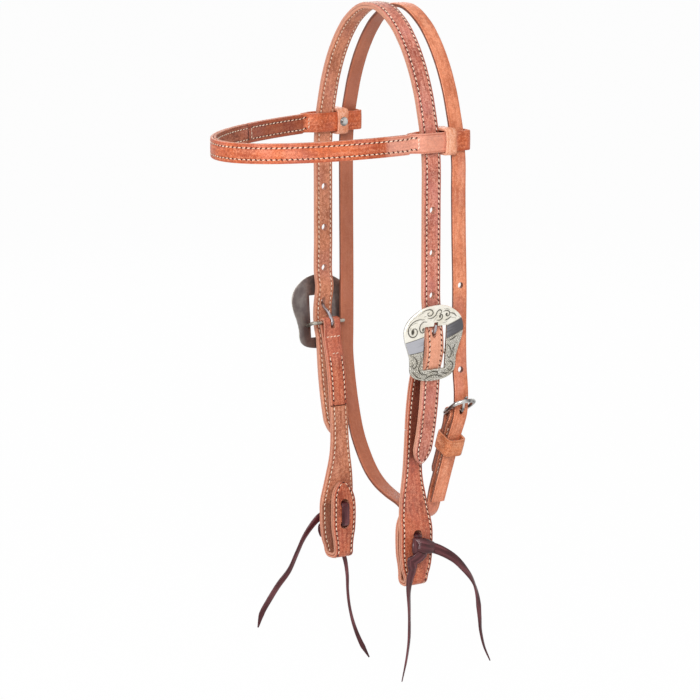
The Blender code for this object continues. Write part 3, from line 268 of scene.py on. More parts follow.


# Maps that leather reads: lay (along, across), rim (distance in from the edge, 1 on the outer face and 0 on
# the inner one) and seam (1 where the stitch rows run, and the painted shade of a stretch, painted light where
# negative)
def leather(name, look):
    made, tree, shader, place = startMaterial(name)
    along, across = mapOf(tree, "lay")
    inset, face = mapOf(tree, "rim")
    seam, dim = mapOf(tree, "seam")
    wide = noise(place, hide["wide"], 3)
    mottle = noise(place, hide["mottle"], 4, 0.65)
    grain = noise(place, hide["grain"], 3, 0.6)
    fibre = streaks(tree, along * 45, across * 420, 0.3, 3, 0.6)
    pores = place.node("ShaderNodeTexVoronoi", {"feature": "DISTANCE_TO_EDGE"},
                       {"Vector": place, "Scale": hide["pores"], "Randomness": 1.0})
    tone = (wide * 0.5 + mottle * 0.5).ramp(0.38, 0.6)
    colour = mixed(tone, look["deep"], look["mid"])
    colour = mixed((fibre * 0.5 + grain * 0.5).ramp(0.46, 0.66) * 0.7, colour, look["pale"])
    fleck = noise(place, hide["fleck"], 2, 0.6)
    colour = mixed(fleck.ramp(0.52, 0.68) * look["fleckShare"], colour, look["pale"])
    colour = mixed(fleck.ramp(0.47, 0.33) * look["fleckShare"], colour, look["deep"])
    blush = noise(place, hide["blush"], 2).ramp(0.48, 0.66) * look["blushShare"]
    colour = mixed(blush, colour, look["blush"])
    colour = mixed(grain.ramp(0.55, 0.3) * 0.5, colour, look["deep"])
    # painted shade on shaded stretches, and painted light on lit ones
    colour = mixed((dim * 0.55).most(0.0).least(0.93), colour, look["dim"])
    colour = mixed((dim * -0.8).most(0.0).least(0.9), colour, look["lit"])
    # the inner face darker: its flesh side, with painted shade
    colour = mixed(face.ramp(0.45, 0.3) * look["fleshAndShadeShare"], colour, look["under"])
    # rims are dressed: a dark line along each rim, burnish with painted edge shade, then the paler raw edge
    burnishAndShadeLine = inset.ramp(0.0004, 0.0011) * inset.ramp(0.0021, 0.0012)
    colour = mixed(burnishAndShadeLine * look["burnishAndShadeShare"], colour, look["deep"])
    raw = face.ramp(0.15, 0.4) * face.ramp(0.85, 0.6)
    colour = mixed(raw * 0.85, colour, look["edge"])
    height = grain * 0.35 + fibre * 0.25 + pores.ramp(0.0, 0.1) * 0.25
    if look["row"]:
        fromRow = abs(inset - look["row"])
        press = fromRow.ramp(awl["press"], 0.0)
        step = ((along / strap["pitch"]) + 0.5).fract() - 0.5
        slit = (step * strap["pitch"]) + (inset - look["row"]) * awl["slant"]
        hole = ((slit * slit) * 0.9 + fromRow * fromRow * 0.42).root().ramp(awl["rim"], awl["core"])
        top = face.ramp(0.7, 0.8) * seam
        under = face.ramp(0.3, 0.2) * seam
        shown = top * look["holeShare"] + under * look["underHoleShare"]
        colour = mixed(press * 0.3 * (top + under).least(1.0), colour, look["deep"])
        colour = mixed(hole * shown, colour, look["hole"])
        height = height - press * 1.6 - hole * shown * 4.0
    rough = mottle.ramp(0.3, 0.7, look["rough"] - 0.08, look["rough"] + 0.12)
    finishMaterial(tree, shader, colour, rough, height, hide["depth"], coat=look["coat"], specular=0.26)
    return made


russet = {
    "deep": linear(146, 72, 56), "mid": linear(203, 121, 99), "pale": linear(236, 174, 154),
    "blush": linear(204, 132, 124), "edge": linear(198, 140, 116), "hole": linear(66, 28, 22),
    # this line ends with the colour of painted shade, and the next with that of painted light
    "under": linear(168, 96, 68), "fleshAndShadeShare": 0.5, "burnishAndShadeShare": 0.5, "dim": linear(92, 44, 32),
    "blushShare": 0.5, "rough": 0.44, "coat": 0.04, "row": strap["rowInset"], "lit": linear(240, 172, 138),
    "holeShare": 0.95, "underHoleShare": 0.4, "fleckShare": 0.5,
}
cheekLook = {**russet, "deep": linear(132, 58, 38), "mid": linear(188, 96, 66), "pale": linear(220, 144, 112),
             "blushShare": 0.15}
bandLook = {**russet, "deep": linear(158, 68, 36), "mid": linear(208, 106, 62), "fleshAndShadeShare": 0.0,
            "pale": linear(230, 148, 112), "blushShare": 0.25, "row": 0.0034, "lit": linear(230, 176, 158)}
insideLook = {**russet, "deep": linear(154, 88, 62), "mid": linear(205, 132, 99), "fleshAndShadeShare": 0.0,
              "pale": linear(226, 162, 132), "blushShare": 0.2, "rough": 0.6, "coat": 0.0}
# a darker copy of the lining's look: painted shade for the browband's lining
shadedBandInsideLook = {**insideLook, "deep": linear(112, 54, 36), "mid": linear(168, 94, 68),
                  "pale": linear(198, 128, 100), "row": 0.0034}
# the throatlatch's dark edge colour is painted shade on its raw edges
throatLook = {**russet, "deep": linear(182, 100, 66), "mid": linear(227, 141, 104), "edge": linear(92, 52, 40),
              "fleckShare": 0.25, "pale": linear(240, 170, 136), "under": linear(150, 88, 66), "fleshAndShadeShare": 0.75,
              "blushShare": 0.3, "row": None}
ringLook = {**russet, "deep": linear(158, 80, 42), "mid": linear(212, 128, 84), "fleshAndShadeShare": 0.0,
            "fleckShare": 0.25, "pale": linear(238, 172, 134), "blushShare": 0.15, "row": None}
paleRingLook = {**ringLook, "deep": linear(196, 118, 82), "mid": linear(232, 162, 128),
                "pale": linear(248, 204, 178)}


# Soft lace, darker where its faces turn over to the edges
def latigo(name, look):
    made, tree, shader, place = startMaterial(name)
    along, across = mapOf(tree, "lay")
    soft = noise(place, 90, 3, 0.5)
    grain = noise(place, hide["grain"], 3, 0.6)
    drawn = streaks(tree, along * 40, across * 360, 0.4)
    colour = mixed((soft * 0.6 + drawn * 0.4).ramp(0.2, 0.78), look["deep"], look["mid"])
    # pale streaks along the lace: its drawn fibre, and painted highlights
    colour = mixed(drawn.ramp(0.48, 0.76) * 0.4, colour, look["pale"])
    colour = mixed(abs(across).ramp(0.0018, 0.0034) * 0.45, colour, look["deep"])
    finishMaterial(tree, shader, colour, soft.ramp(0.3, 0.7, 0.26, 0.38), grain * 0.4 + drawn * 0.6,
                   hide["depth"], coat=0.08, specular=0.3)
    return made


def threadMaterial():
    made, tree, shader, place = startMaterial("waxed_thread")
    twist = place.node("ShaderNodeTexWave", {"wave_type": "BANDS", "bands_direction": "DIAGONAL"},
                       {"Vector": place, "Scale": 900.0, "Distortion": 0.4})
    dirt = noise(place, 90, 3)
    colour = mixed(dirt.ramp(0.4, 0.7), linear(238, 222, 200), linear(214, 184, 158))
    finishMaterial(tree, shader, colour, 0.62, twist, 0.00006)
    return made


def metal(name, look):
    made, tree, shader, place = startMaterial(name)
    cloud = noise(place, 130, 3)
    fine = noise(place, 900, 3, 0.6)
    colour = mixed(cloud.ramp(0.35, 0.68), look["light"], look["dark"])
    rough = fine.ramp(0.3, 0.7, look["rough"] - 0.06, look["rough"] + 0.08)
    finishMaterial(tree, shader, colour, rough, fine, 0.00002, metallic=1.0)
    return made


# Patina darkens the cuts, and the bands keep a brushed finish under a painted gradient of light to shade across
# them
def engravedSilver(name, look):
    made, tree, shader, place = startMaterial(name)
    cut, zone = mapOf(tree, "cuts")
    across, up = mapOf(tree, "lay")
    cloud = noise(place, 110, 4, 0.6)
    fine = noise(place, 1400, 2)
    brushed = streaks(tree, across * 260 + up * 70, up * 5200 - across * 1300, 0.0)
    band = zone.ramp(0.2, 0.3) * zone.ramp(0.5, 0.4)
    rear = zone.ramp(1.1, 1.3)
    matted = zone.ramp(0.6, 0.7) * (1 - rear)
    ripple = ((across * across + up * up).root() * 760 + noise(place, 130, 2) * 5).fract()
    hatch = abs(ripple - 0.5).ramp(0.3, 0.16)
    colour = mixed(cloud.ramp(0.35, 0.7) * 0.5, look["light"], look["warm"])
    colour = mixed(matted * (fine.ramp(0.36, 0.6) * 0.3 + hatch * 0.4 + 0.08), colour, look["cut"])
    streak = streaks(tree, across * 40, up * 900 - across * 250, 0.7, 3)
    # painted shade and reflection: each band runs from lit steel to shaded dark across the plate
    shade = (across * 30 + streak * 1.3 + cloud * 0.4).ramp(0.35, 1.5)
    colour = mixed(band, colour, mixed(shade, look["steel"], look["dusk"]))
    colour = mixed(cut.ramp(0.05, 0.7) * 0.94, colour, look["cut"])
    colour = mixed(rear * (0.7 + cloud * 0.5), colour, look["rear"])
    rough = brushed.ramp(0.3, 0.7, 0.3, 0.42) * band + (1 - band) * fine.ramp(0.3, 0.7, 0.36, 0.5)
    height = fine * 0.3 * (1 - band) + brushed * band * 0.5 + matted * fine.ramp(0.42, 0.6) * -1.6
    finishMaterial(tree, shader, colour, rough, height, 0.00008, metallic=0.88)
    return made


laceLook = {"deep": linear(44, 12, 16), "mid": linear(84, 34, 38), "pale": linear(136, 82, 86)}
silverLook = {"light": linear(246, 242, 231), "warm": linear(216, 208, 186), "steel": linear(184, 184, 190),
              "dusk": linear(96, 95, 98), "cut": linear(54, 48, 38), "rear": linear(112, 102, 100)}
barLook = {"light": linear(205, 200, 188), "dark": linear(120, 114, 104), "rough": 0.38}
tongueLook = {"light": linear(190, 186, 190), "dark": linear(132, 126, 132), "rough": 0.34}
nickelLook = {"light": linear(206, 204, 200), "dark": linear(96, 94, 92), "rough": 0.24}

materials = {
    "crown": leather("crown_leather_grain", russet),
    "cheek": leather("cheek_leather_grain", cheekLook),
    "band": leather("browband_leather_grain", bandLook),
    "shadedBandInside": leather("browband_lining_painted_shade", shadedBandInsideLook),
    "inside": leather("lining_leather_grain", insideLook),
    "throat": leather("throatlatch_leather_grain", throatLook),
    "ring": leather("keeper_leather_grain", ringLook),
    "paleRing": leather("browband_keeper_grain", paleRingLook),
    "lace": latigo("latigo_lace", laceLook),
    "thread": threadMaterial(),
    "silver": engravedSilver("engraved_silver", silverLook),
    "plainSilver": metal("plain_silver", barLook),
    "tongue": metal("tongue_steel_brushed", tongueLook),
    "nickel": metal("nickel_bright", nickelLook),
}
print("materials ready:", len(materials))


# Meshes

# Finishes one piece: a plain mesh at the origin that rides on its body
def newPiece(name, mesh, material, body, *nodes):
    made = bpy.data.objects.new(name, mesh)
    bpy.context.scene.collection.objects.link(made)
    if not mesh.materials:
        mesh.materials.append(material)
    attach(made, body)
    for node in nodes:
        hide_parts(node)
    return made


# A ring of points round a place, wide and high from it
def circle(middle, across, up, wide, high, count):
    turns = [math.tau * k / count for k in range(count)]
    return [middle + across * (math.cos(turn) * wide) + up * (math.sin(turn) * high) for turn in turns]


# Turns the faces of a closed mesh outwards
def facedOut(mesh):
    work = bmesh.new()
    work.from_mesh(mesh)
    bmesh.ops.recalc_face_normals(work, faces=work.faces)
    work.to_mesh(mesh)
    work.free()


# Faces through rings of points, with the maps that materials read, a value for each point
def ringMesh(name, rings, layout=None, closed=False):
    count, width = len(rings), len(rings[0])
    points = np.array([[tuple(p) for p in ring] for ring in rings]).reshape(-1, 3)
    faces = []
    for i in range(count - (0 if closed else 1)):
        j = (i + 1) % count
        for a in range(width):
            b = (a + 1) % width
            faces.append((i * width + a, i * width + b, j * width + b, j * width + a))
    if not closed:
        faces.append(tuple(range(width)))
        faces.append(tuple((count - 1) * width + a for a in range(width)))
    mesh = bpy.data.meshes.new(name)
    mesh.from_pydata(points.tolist(), [], faces)
    index = np.empty(len(mesh.loops), dtype=np.int32)
    mesh.loops.foreach_get("vertex_index", index)
    for key, values in (layout or {}).items():
        layer = mesh.uv_layers.new(name=key)
        layer.data.foreach_set("uv", values[index].astype(np.float32).ravel())
    facedOut(mesh)
    mesh.shade_smooth()
    return mesh


# Cross-section of a strap: (across, up, inset, face) with dressed rims on what shows
def section(half, low, high, exposed):
    rim = min(strap["rim"], (high - low) * 0.36, half * 0.45)
    made = []

    def edgeOf(side, level, inward, code):
        turns = 4
        for k in range(turns + 1):
            angle = math.pi / 2 * k / turns
            if side > 0 and code > 0.5 or side < 0 and code < 0.5:
                swing = angle
            else:
                swing = math.pi / 2 - angle
            a = half - rim + rim * math.cos(swing)
            z = level - inward * rim + inward * rim * math.sin(swing)
            share = 0.5 + (code - 0.5) * min(1, math.sin(swing) * 1.4)
            made.append((side * a, z, half - a, share))

    def flat(level, code, reverse):
        span = half - rim
        places = [-0.8, -0.55, -0.25, 0.0, 0.25, 0.55, 0.8]
        for place in (reversed(places) if reverse else places):
            swell = strap["swell"] * (1 - place * place) * (1 if code > 0.5 else -1)
            made.append((span * place, level + swell, half - abs(span * place), code))

    top = exposed in ("outer", "both")
    under = exposed in ("inner", "both")
    if under:
        edgeOf(1, low, -1, 0.0)
    else:
        made.append((half, low, 0.0, 0.5))
    if top:
        edgeOf(1, high, 1, 1.0)
        flat(high, 1.0, True)
        edgeOf(-1, high, 1, 1.0)
    else:
        made.append((half, high, 0.0, 0.5))
        made.append((-half, high, 0.0, 0.5))
    if under:
        edgeOf(-1, low, -1, 0.0)
        flat(low, 0.0, False)
    else:
        made.append((-half, low, 0.0, 0.5))
    return made


# Each stretch of painted shade: from, to, strength (negative is painted light), and for a part of the outer face
# its two sides
def shadeAt(run, across, code, stretches):
    fade, sideFade, total = 0.006, 0.0016, 0.0
    for low, high, strength, *part in stretches:
        inside = 1.0
        if part:
            left, right = part
            inside = eased((across - left) / sideFade) * eased((right - across) / sideFade) * (code > 0.5)
        total += strength * eased((run - low) / fade) * eased((high - run) / fade) * inside
    return total


# A swept strap. bare lists stretches without stitch holes, and the last argument stretches of painted shade,
# painted light where negative
def strapMesh(name, stations, exposed, bare=(), dim=()):
    runs = stationRuns(stations)
    rings, lay, rims, seam = [], [], [], []
    for (point, normal, side, half, low, high), run in zip(stations, runs):
        ring = []
        for across, up, inset, code in section(half, low, high, exposed):
            ring.append(point + side * across + normal * up)
            lay.append((run, across))
            rims.append((inset, code))
            seam.append((0.0 if any(begin < run < end for begin, end in bare) else 1.0,
                         shadeAt(run, across, code, dim)))
        rings.append(ring)
    return ringMesh(name, rings, {"lay": np.array(lay), "rim": np.array(rims), "seam": np.array(seam)})


# Turns what the modifiers make into the piece's own plain mesh
def baked(piece):
    result = bpy.data.meshes.new_from_object(piece.evaluated_get(bpy.context.evaluated_depsgraph_get()))
    work = bmesh.new()
    work.from_mesh(result)
    bmesh.ops.remove_doubles(work, verts=work.verts, dist=0.000002)   # slivers where a cut meets a corner
    work.to_mesh(result)
    work.free()
    old = piece.data
    piece.modifiers.clear()
    piece.data = result
    result.name = old.name
    bpy.data.meshes.remove(old)


# Takes a closed mesh out of a strap. Its walls read as the middle of a rim, raw and without stitch holes, and
# take shade as painted shade
def cutAway(piece, mesh, shade):
    for key in ("lay", "rim", "seam"):
        for corner in mesh.uv_layers.new(name=key).data:
            corner.uv = (0.0, 0.5 if key == "rim" else shade)
    cutter = bpy.data.objects.new("cutter", mesh)
    bpy.context.scene.collection.objects.link(cutter)
    change = piece.modifiers.new("cut", "BOOLEAN")
    change.operation, change.solver, change.object = "DIFFERENCE", "EXACT", cutter
    baked(piece)
    bpy.data.objects.remove(cutter, do_unlink=True)
    piece.data.shade_smooth()
    piece.data.set_sharp_from_angle(angle=math.radians(50))


# Cuts holes with pins: (middle, axis, side, half width, half height, half length)
def drilled(piece, pins, sides=28):
    work = bmesh.new()
    for middle, axis, side, wide, high, reach in pins:
        up = axis.cross(side).normalized()
        ends = [[work.verts.new(p) for p in circle(middle + axis * end, side, up, wide, high, sides)]
                for end in (-reach, reach)]
        for k in range(sides):
            j = (k + 1) % sides
            work.faces.new((ends[0][k], ends[0][j], ends[1][j], ends[1][k]))
        work.faces.new(ends[0])
        work.faces.new(ends[1])
    bmesh.ops.recalc_face_normals(work, faces=work.faces)
    mesh = bpy.data.meshes.new("pins")
    work.to_mesh(mesh)
    work.free()
    cutAway(piece, mesh, 0.0)


# Cuts the slot for a tongue where a strap folds round its bar
def slotted(piece, middle, axes, halves):
    a, b, c = (axis * half for axis, half in zip(axes, halves))
    corners = [middle + a * i + b * j + c * k for k in (-1, 1) for i, j in ((-1, -1), (1, -1), (1, 1), (-1, 1))]
    mesh = bpy.data.meshes.new("slot")
    faces = [(0, 1, 2, 3), (4, 5, 6, 7), (0, 1, 5, 4), (1, 2, 6, 5), (2, 3, 7, 6), (3, 0, 4, 7)]
    mesh.from_pydata([tuple(p) for p in corners], [], faces)
    facedOut(mesh)
    # the slot's walls take painted shade of strength 0.5
    cutAway(piece, mesh, 0.5)


# Stitches: one point for each, set out along the strap, with the thread laid on by Geometry Nodes

stitch = {"Length": 0.0031, "Width": 0.0008, "Height": 0.0007}
stitchRise, stitchSlant = 0.00008, 0.16


def stitchTree():
    tree = bpy.data.node_groups.new("stitching", "GeometryNodeTree")
    tree.interface.new_socket("Points", in_out="INPUT", socket_type="NodeSocketGeometry")
    for name, value in stitch.items():
        tree.interface.new_socket(name, in_out="INPUT", socket_type="NodeSocketFloat").default_value = value
    tree.interface.new_socket("Thread", in_out="INPUT", socket_type="NodeSocketMaterial")
    tree.interface.new_socket("Stitches", in_out="OUTPUT", socket_type="NodeSocketGeometry")

    def add(kind, settings=None, links=None):
        made = tree.nodes.new(kind)
        for name, value in (settings or {}).items():
            setattr(made, name, value)
        for name, value in (links or {}).items():
            if isinstance(value, bpy.types.NodeSocket):
                tree.links.new(value, made.inputs[name])
            else:
                made.inputs[name].default_value = value
        return made

    start = add("NodeGroupInput")
    end = add("NodeGroupOutput")
    heading = add("GeometryNodeInputNamedAttribute", {"data_type": "FLOAT_VECTOR"}, {"Name": "heading"})
    outward = add("GeometryNodeInputNamedAttribute", {"data_type": "FLOAT_VECTOR"}, {"Name": "outward"})
    turn = add("FunctionNodeAxesToRotation", {"primary_axis": "X", "secondary_axis": "Z"},
               {0: heading.outputs[0], 1: outward.outputs[0]})
    ball = add("GeometryNodeMeshUVSphere", None, {"Segments": 6, "Rings": 5, "Radius": 0.5})
    size = add("ShaderNodeCombineXYZ", None,
               {0: start.outputs["Length"], 1: start.outputs["Width"], 2: start.outputs["Height"]})
    scaled = add("GeometryNodeTransform", None, {"Geometry": ball.outputs["Mesh"], "Scale": size.outputs[0]})
    laid = add("GeometryNodeInstanceOnPoints", None,
               {"Points": start.outputs["Points"], "Instance": scaled.outputs[0], "Rotation": turn.outputs[0]})
    real = add("GeometryNodeRealizeInstances", None, {0: laid.outputs[0]})
    smooth = add("GeometryNodeSetShadeSmooth", None, {0: real.outputs[0]})
    dyed = add("GeometryNodeSetMaterial", None,
               {"Geometry": smooth.outputs[0], "Material": start.outputs["Thread"]})
    tree.links.new(dyed.outputs[0], end.inputs[0])
    return tree


stitching = stitchTree()


# marks: (point, heading, outward) for each stitch
def stitched(name, marks, body):
    mesh = bpy.data.meshes.new(name)
    mesh.from_pydata([tuple(point) for point, _, _ in marks], [], [])
    for key, number in (("heading", 1), ("outward", 2)):
        layer = mesh.attributes.new(key, "FLOAT_VECTOR", "POINT")
        values = np.array([tuple(mark[number]) for mark in marks], dtype=np.float32)
        layer.data.foreach_set("vector", values.ravel())
    made = bpy.data.objects.new(name, mesh)
    bpy.context.scene.collection.objects.link(made)
    change = made.modifiers.new("stitching", "NODES")
    change.node_group = stitching
    values = {**stitch, "Thread": materials["thread"]}
    for item in stitching.interface.items_tree:
        if item.in_out == "INPUT" and item.name in values:
            change[item.identifier] = values[item.name]
    baked(made)
    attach(made, body)
    return made


# Stitch places on one face of a strap: sign 1 is its high side, -1 its low side
def rowMarks(stations, sign, first=0.0, last=None, inset=None):
    runs = stationRuns(stations)
    last = runs[-1] if last is None else last
    made = []
    number = math.ceil(first / strap["pitch"])
    while True:
        run = (number + 0.5) * strap["pitch"]
        number += 1
        if run > last:
            return made
        k = min(max(int(np.searchsorted(runs, run)) - 1, 0), len(runs) - 2)
        share = (run - runs[k]) / (runs[k + 1] - runs[k])
        one, two = stations[k], stations[k + 1]
        point, normal = one[0].lerp(two[0], share), one[1].lerp(two[1], share).normalized()
        side, half = one[2], one[3] + (two[3] - one[3]) * share
        level = (one[5] if sign > 0 else one[4]) + sign * stitchRise
        off = half - (inset or strap["rowInset"])
        if off < 0.0006:
            continue
        widen = (two[3] - one[3]) / (runs[k + 1] - runs[k])
        for row in (-1, 1):
            heading = (two[0] - one[0]).normalized() + side * (row * widen)
            heading = (heading + side * (stitchSlant * sign)).normalized()
            made.append((point + side * (off * row) + normal * level, heading, normal * sign))


# A short row of stitches across a strap's high side, between its two rows
def crossRow(stations, run, count=3, inset=None):
    runs = stationRuns(stations)
    k = min(int(np.searchsorted(runs, run)), len(stations) - 2)
    point, normal, side, half, _, high = stations[k]
    span = half - (inset or strap["rowInset"])
    heading = (stations[k + 1][0] - stations[k][0]).normalized()
    made = []
    for number in range(count):
        place = span * (2 * (number + 0.5) / count - 1)
        spot = point + side * place + normal * (high + stitchRise)
        made.append((spot, (side + heading * 0.25).normalized(), normal))
    return made


# Crown

# The near half of the crown's middle line, from the poll down to the billet's tip
def crownRoute():
    top = halfStrap
    rise = crown["archDrop"] + top
    points = [Vector((crown["pollFlat"] / 2, 0, top))]
    points += [Vector((crown["halfSpan"] * out, 0, top - rise * down)) for out, down in crown["arch"]]
    head = barLevel + plateUp * (crown["plateTop"] + strap["width"] / 8)
    straight = (points[-1].z - head.z) / 4
    points += [Vector((crown["halfSpan"], 0, points[-1].z - straight * k)) for k in (1, 2, 3)]
    points += [head]
    aside = sideways * crown["aside"]
    points += [barLevel + plateUp * up + plateOut * bow + aside for up, bow in crown["bow"]]
    tailLean = math.radians(crown["tailLeanDeg"])
    heading = Vector((-math.sin(tailLean), 0, -math.cos(tailLean)))
    foot = barLevel - plateUp * crown["plateFoot"]
    points += [foot + heading * (crown["tailLength"] * share) + plateOut * bow + aside
               for share, bow in crown["tailBow"]]
    return curveThrough(points)


# Half width of the crown that far from a pointed end
def tipped(left):
    return strap["width"] / 2 * table((0.0, 0.06, 0.12, 0.25, 0.45, 0.8, 1.0),
                                      (0.14, 0.3, 0.42, 0.58, 0.76, 0.95, 1.0), left / crown["tailPoint"])


def crownStations(low, high):
    near = evenly(crownRoute())
    both = evenly(list(reversed(handed(near[1:], -1))) + near)
    runs = runsOf(both)
    return [(point, normal, sideways, min(tipped(runs[-1] - run), tipped(run)), low, high)
            for point, normal, run in zip(both, normalsOf(both, sideways), runs)]


# Three punched holes a side, and the slit that the buckle's tongue goes through
def crownPins():
    made = []
    for hand in (1, -1):
        flip = Vector((hand, 1, 1))
        for number in (1, 2, 3):
            level = barLevel.z + crown["holeFirst"] + crown["holePitch"] * number
            made.append((Vector((crown["halfSpan"], 0, level)) * flip, Vector((hand, 0, 0)), sideways,
                         crown["holeBore"] / 2, crown["holeBore"] / 2, crown["cutReach"]))
        up, out = crown["tongueHole"]
        middle = (barLevel + plateUp * up + plateOut * out) * flip
        made.append((middle, plateOut * flip, sideways, *crown["tongueSlot"], crown["cutReach"]))
    return made


def makeCrown():
    upper = crownStations(gap / 2, gap / 2 + ply)
    lower = crownStations(-gap / 2 - ply, -gap / 2)
    whole = stationRuns(upper)[-1]
    tail = crown["tailLength"] + crown["plateFoot"]
    # painted light on the strap in each window, and painted shade along each billet
    before, after, strength = crown["pale"]
    shades = [(tail - before, tail + after, strength), (0.0, crown["tailLength"], crown["tailShade"])]
    shades += [(whole - high, whole - low, strength) for low, high, strength in shades]
    outer = newPiece("crownOuter", strapMesh("crownOuter", upper, "outer", dim=shades),
                     materials["crown"], "crown", "crown_outer_ply")
    inner = newPiece("crownLining", strapMesh("crownLining", lower, "inner"),
                     materials["inside"], "crown", "crown_lining_ply")
    drilled(outer, crownPins())
    drilled(inner, crownPins())
    stitched("crownStitches", rowMarks(upper, 1) + rowMarks(lower, -1), "crown")


# Browband

band = {
    "depth": 0.146, "drop": 0.100, "sag": 0.0055, "foldBack": 0.062, "split": 0.022,
    "inner": 0.0722, "outer": 0.0862, "corner": 0.0040, "slack": 0.0016,
    "throatBack": 0.0245, "throatWidth": 0.013, "seamPast": 0.0050, "rowInset": 0.0034,
    "ringWall": 0.0022, "ringLength": 0.0106, "ringSlack": 0.0005,
    # pale, at the end of the next line, is a stretch of painted light: before, after and strength
    "rivetHead": 0.0075, "rivetRise": 0.0016, "waist": 0.14, "pale": (0.030, 0.038, -0.55),
}

splitAngle = math.asin(band["split"] / band["depth"])     # where the two layers part for the loop


# A place that far out from the browband's half oval, by its angle from the near end
def bandPoint(angle, out):
    flat = Vector((crown["halfSpan"] * math.cos(angle), -band["depth"] * math.sin(angle), 0))
    normal = Vector((band["depth"] * math.cos(angle), -crown["halfSpan"] * math.sin(angle), 0)).normalized()
    return flat + normal * out + Vector((0, 0, -band["drop"] - band["sag"] * max(math.sin(angle), 0)))


# Round the crown and the throatlatch, from the outer layer back to where the inner one starts
def bandLoop(hand):
    back = band["throatBack"] + band["throatWidth"] / 2 + band["slack"] + ply / 2
    outer, inner, corner = band["outer"], band["inner"], band["corner"]
    start, finish = bandPoint(splitAngle, layerShift), bandPoint(splitAngle, -layerShift)
    front = -strap["width"] / 2
    ease = band["split"] + front
    level = Vector((0, 0, -band["drop"]))
    shares = [k / 12 for k in range(1, 13)]
    made = [Vector((start.x + (outer - start.x) * eased(s), start.y + ease * s, 0)) + level for s in shares]
    made += [Vector((outer, band["throatBack"] * s, 0)) + level for s in (0.0, 0.5, 0.9)]
    for middleX, fromDeg in ((outer - corner, 0), (inner + corner, 90)):
        made += [Vector((x, y, 0)) + level for x, y in arc(middleX, back - corner, corner, fromDeg, 90, 8)]
    made += [Vector((inner, band["throatBack"] * s, 0)) + level for s in (0.9, 0.5, 0.0)]
    made += [Vector((finish.x + (inner - finish.x) * eased(s), finish.y + ease * s, 0)) + level
             for s in reversed(shares)]
    return handed(made, hand)


# The folded end, which runs back along the inside
def bandFold(hand, length):
    angle, run = splitAngle, 0.0
    made = [bandPoint(angle, -layerShift)]
    while run < length:
        angle += math.radians(0.5)
        here = bandPoint(angle, -layerShift)
        run += (here - made[-1]).length
        made.append(here)
    return handed(made, hand), angle


def bandStations(points):
    points = evenly(points, strap["bandStep"])
    normals = normalsOf(points, upright)
    return [(p, n, upright, strap["width"] / 2, -ply / 2, ply / 2) for p, n in zip(points, normals)]


# Across the brow from the off end to the near one
def bandLine(first, out, steps):
    angles = [first + (math.pi - 2 * first) * k / steps for k in range(steps + 1)]
    return [bandPoint(angle, out) for angle in reversed(angles)]


def makeBrowband():
    middle = bandLine(splitAngle, layerShift, 240)
    foldNear, stop = bandFold(1, band["foldBack"])
    foldOff, _ = bandFold(-1, band["foldBack"])
    ends = runsOf(foldOff)[-1]
    offLoop = list(reversed(bandLoop(-1)))
    whole = list(reversed(foldOff)) + offLoop + middle + bandLoop(1) + foldNear
    outer = bandStations(whole)
    loopRun, full = runsOf(offLoop)[-1], stationRuns(outer)[-1]
    plain = [(ends + band["seamPast"], ends + loopRun - band["seamPast"])]
    plain.append((full - plain[0][1], full - plain[0][0]))
    # painted shade on both folded ends, and painted light on the pale stretch
    before, after, strength = band["pale"]
    foldShadeAndHighlight = [(-1.0, plain[0][0], 1.0), (plain[1][1], full + 1.0, 1.0),
             (plain[1][0] - before, plain[1][0] + after, strength)]
    spare = math.asin(gap * 2 / crown["halfSpan"])
    lining = bandStations(bandLine(stop + spare, -layerShift, 160))
    newPiece("browbandOuter", strapMesh("browbandOuter", outer, "both", plain, foldShadeAndHighlight),
             materials["band"], "browband", "browband_outer_ply")
    newPiece("browbandLining", strapMesh("browbandLining", lining, "inner"),
             materials["shadedBandInside"], "browband", "browband_lining_ply")
    begin, finish = plain[0][1], plain[1][0]
    inset = band["rowInset"]
    marks = rowMarks(outer, 1, first=begin + 0.001, last=finish - 0.001, inset=inset)
    marks += rowMarks(outer, 1, first=0.0015, last=plain[0][0] - 0.001, inset=inset)
    marks += rowMarks(outer, 1, first=plain[1][1] + 0.001, inset=inset)
    marks += rowMarks(lining, -1, inset=inset)
    for run in (begin, finish, plain[0][0], plain[1][1], 0.003, full - 0.003):
        marks += crossRow(outer, run, inset=inset)
    stitched("browbandStitches", marks, "browband")


# Outline of a box with rounded corners
def rounded(halfA, halfB, corner, count):
    made = []
    for quarter, (signA, signB) in enumerate(((1, 1), (-1, 1), (-1, -1), (1, -1))):
        for k in range(count + 1):
            angle = math.radians(90 * (quarter + k / count))
            made.append((signA * (halfA - corner) + math.cos(angle) * corner,
                         signB * (halfB - corner) + math.sin(angle) * corner))
    return made


# A leather loop wrapped round straps: a closed band with dressed rims. waist narrows it on its faces
def wrappedLoop(name, middle, axes, sizes, material, body, node, waist=0.0):
    a, b, c = axes
    halfA, halfB, corner, wall, halfLength = sizes
    outline = rounded(halfA, halfB, corner, 6)
    dense = []
    for (p, q), (r, s) in zip(outline, outline[1:] + outline[:1]):
        span = math.hypot(r - p, s - q)
        steps = max(1, round(span / 0.0012))
        for k in range(steps):
            dense.append((p + (r - p) * k / steps, q + (s - q) * k / steps))
    count = len(dense)
    rings, lay, rims, run = [], [], [], 0.0
    for k, (p, q) in enumerate(dense):
        before, after = dense[k - 1], dense[(k + 1) % count]
        direction = Vector((after[0] - before[0], after[1] - before[1])).normalized()
        out = a * direction.y - b * direction.x
        here = middle + a * p + b * q
        flare = 1 - waist * (1 - abs(q) / halfB)
        ring = []
        for across, up, inset, code in section(halfLength * flare, 0.0, wall, "both"):
            ring.append(here + c * across + out * up)
            lay.append((run, across))
            rims.append((inset, code))
        rings.append(ring)
        run += math.hypot(after[0] - p, after[1] - q)
    mesh = ringMesh(name, rings, {"lay": np.array(lay), "rim": np.array(rims)}, closed=True)
    return newPiece(name, mesh, material, body, node)


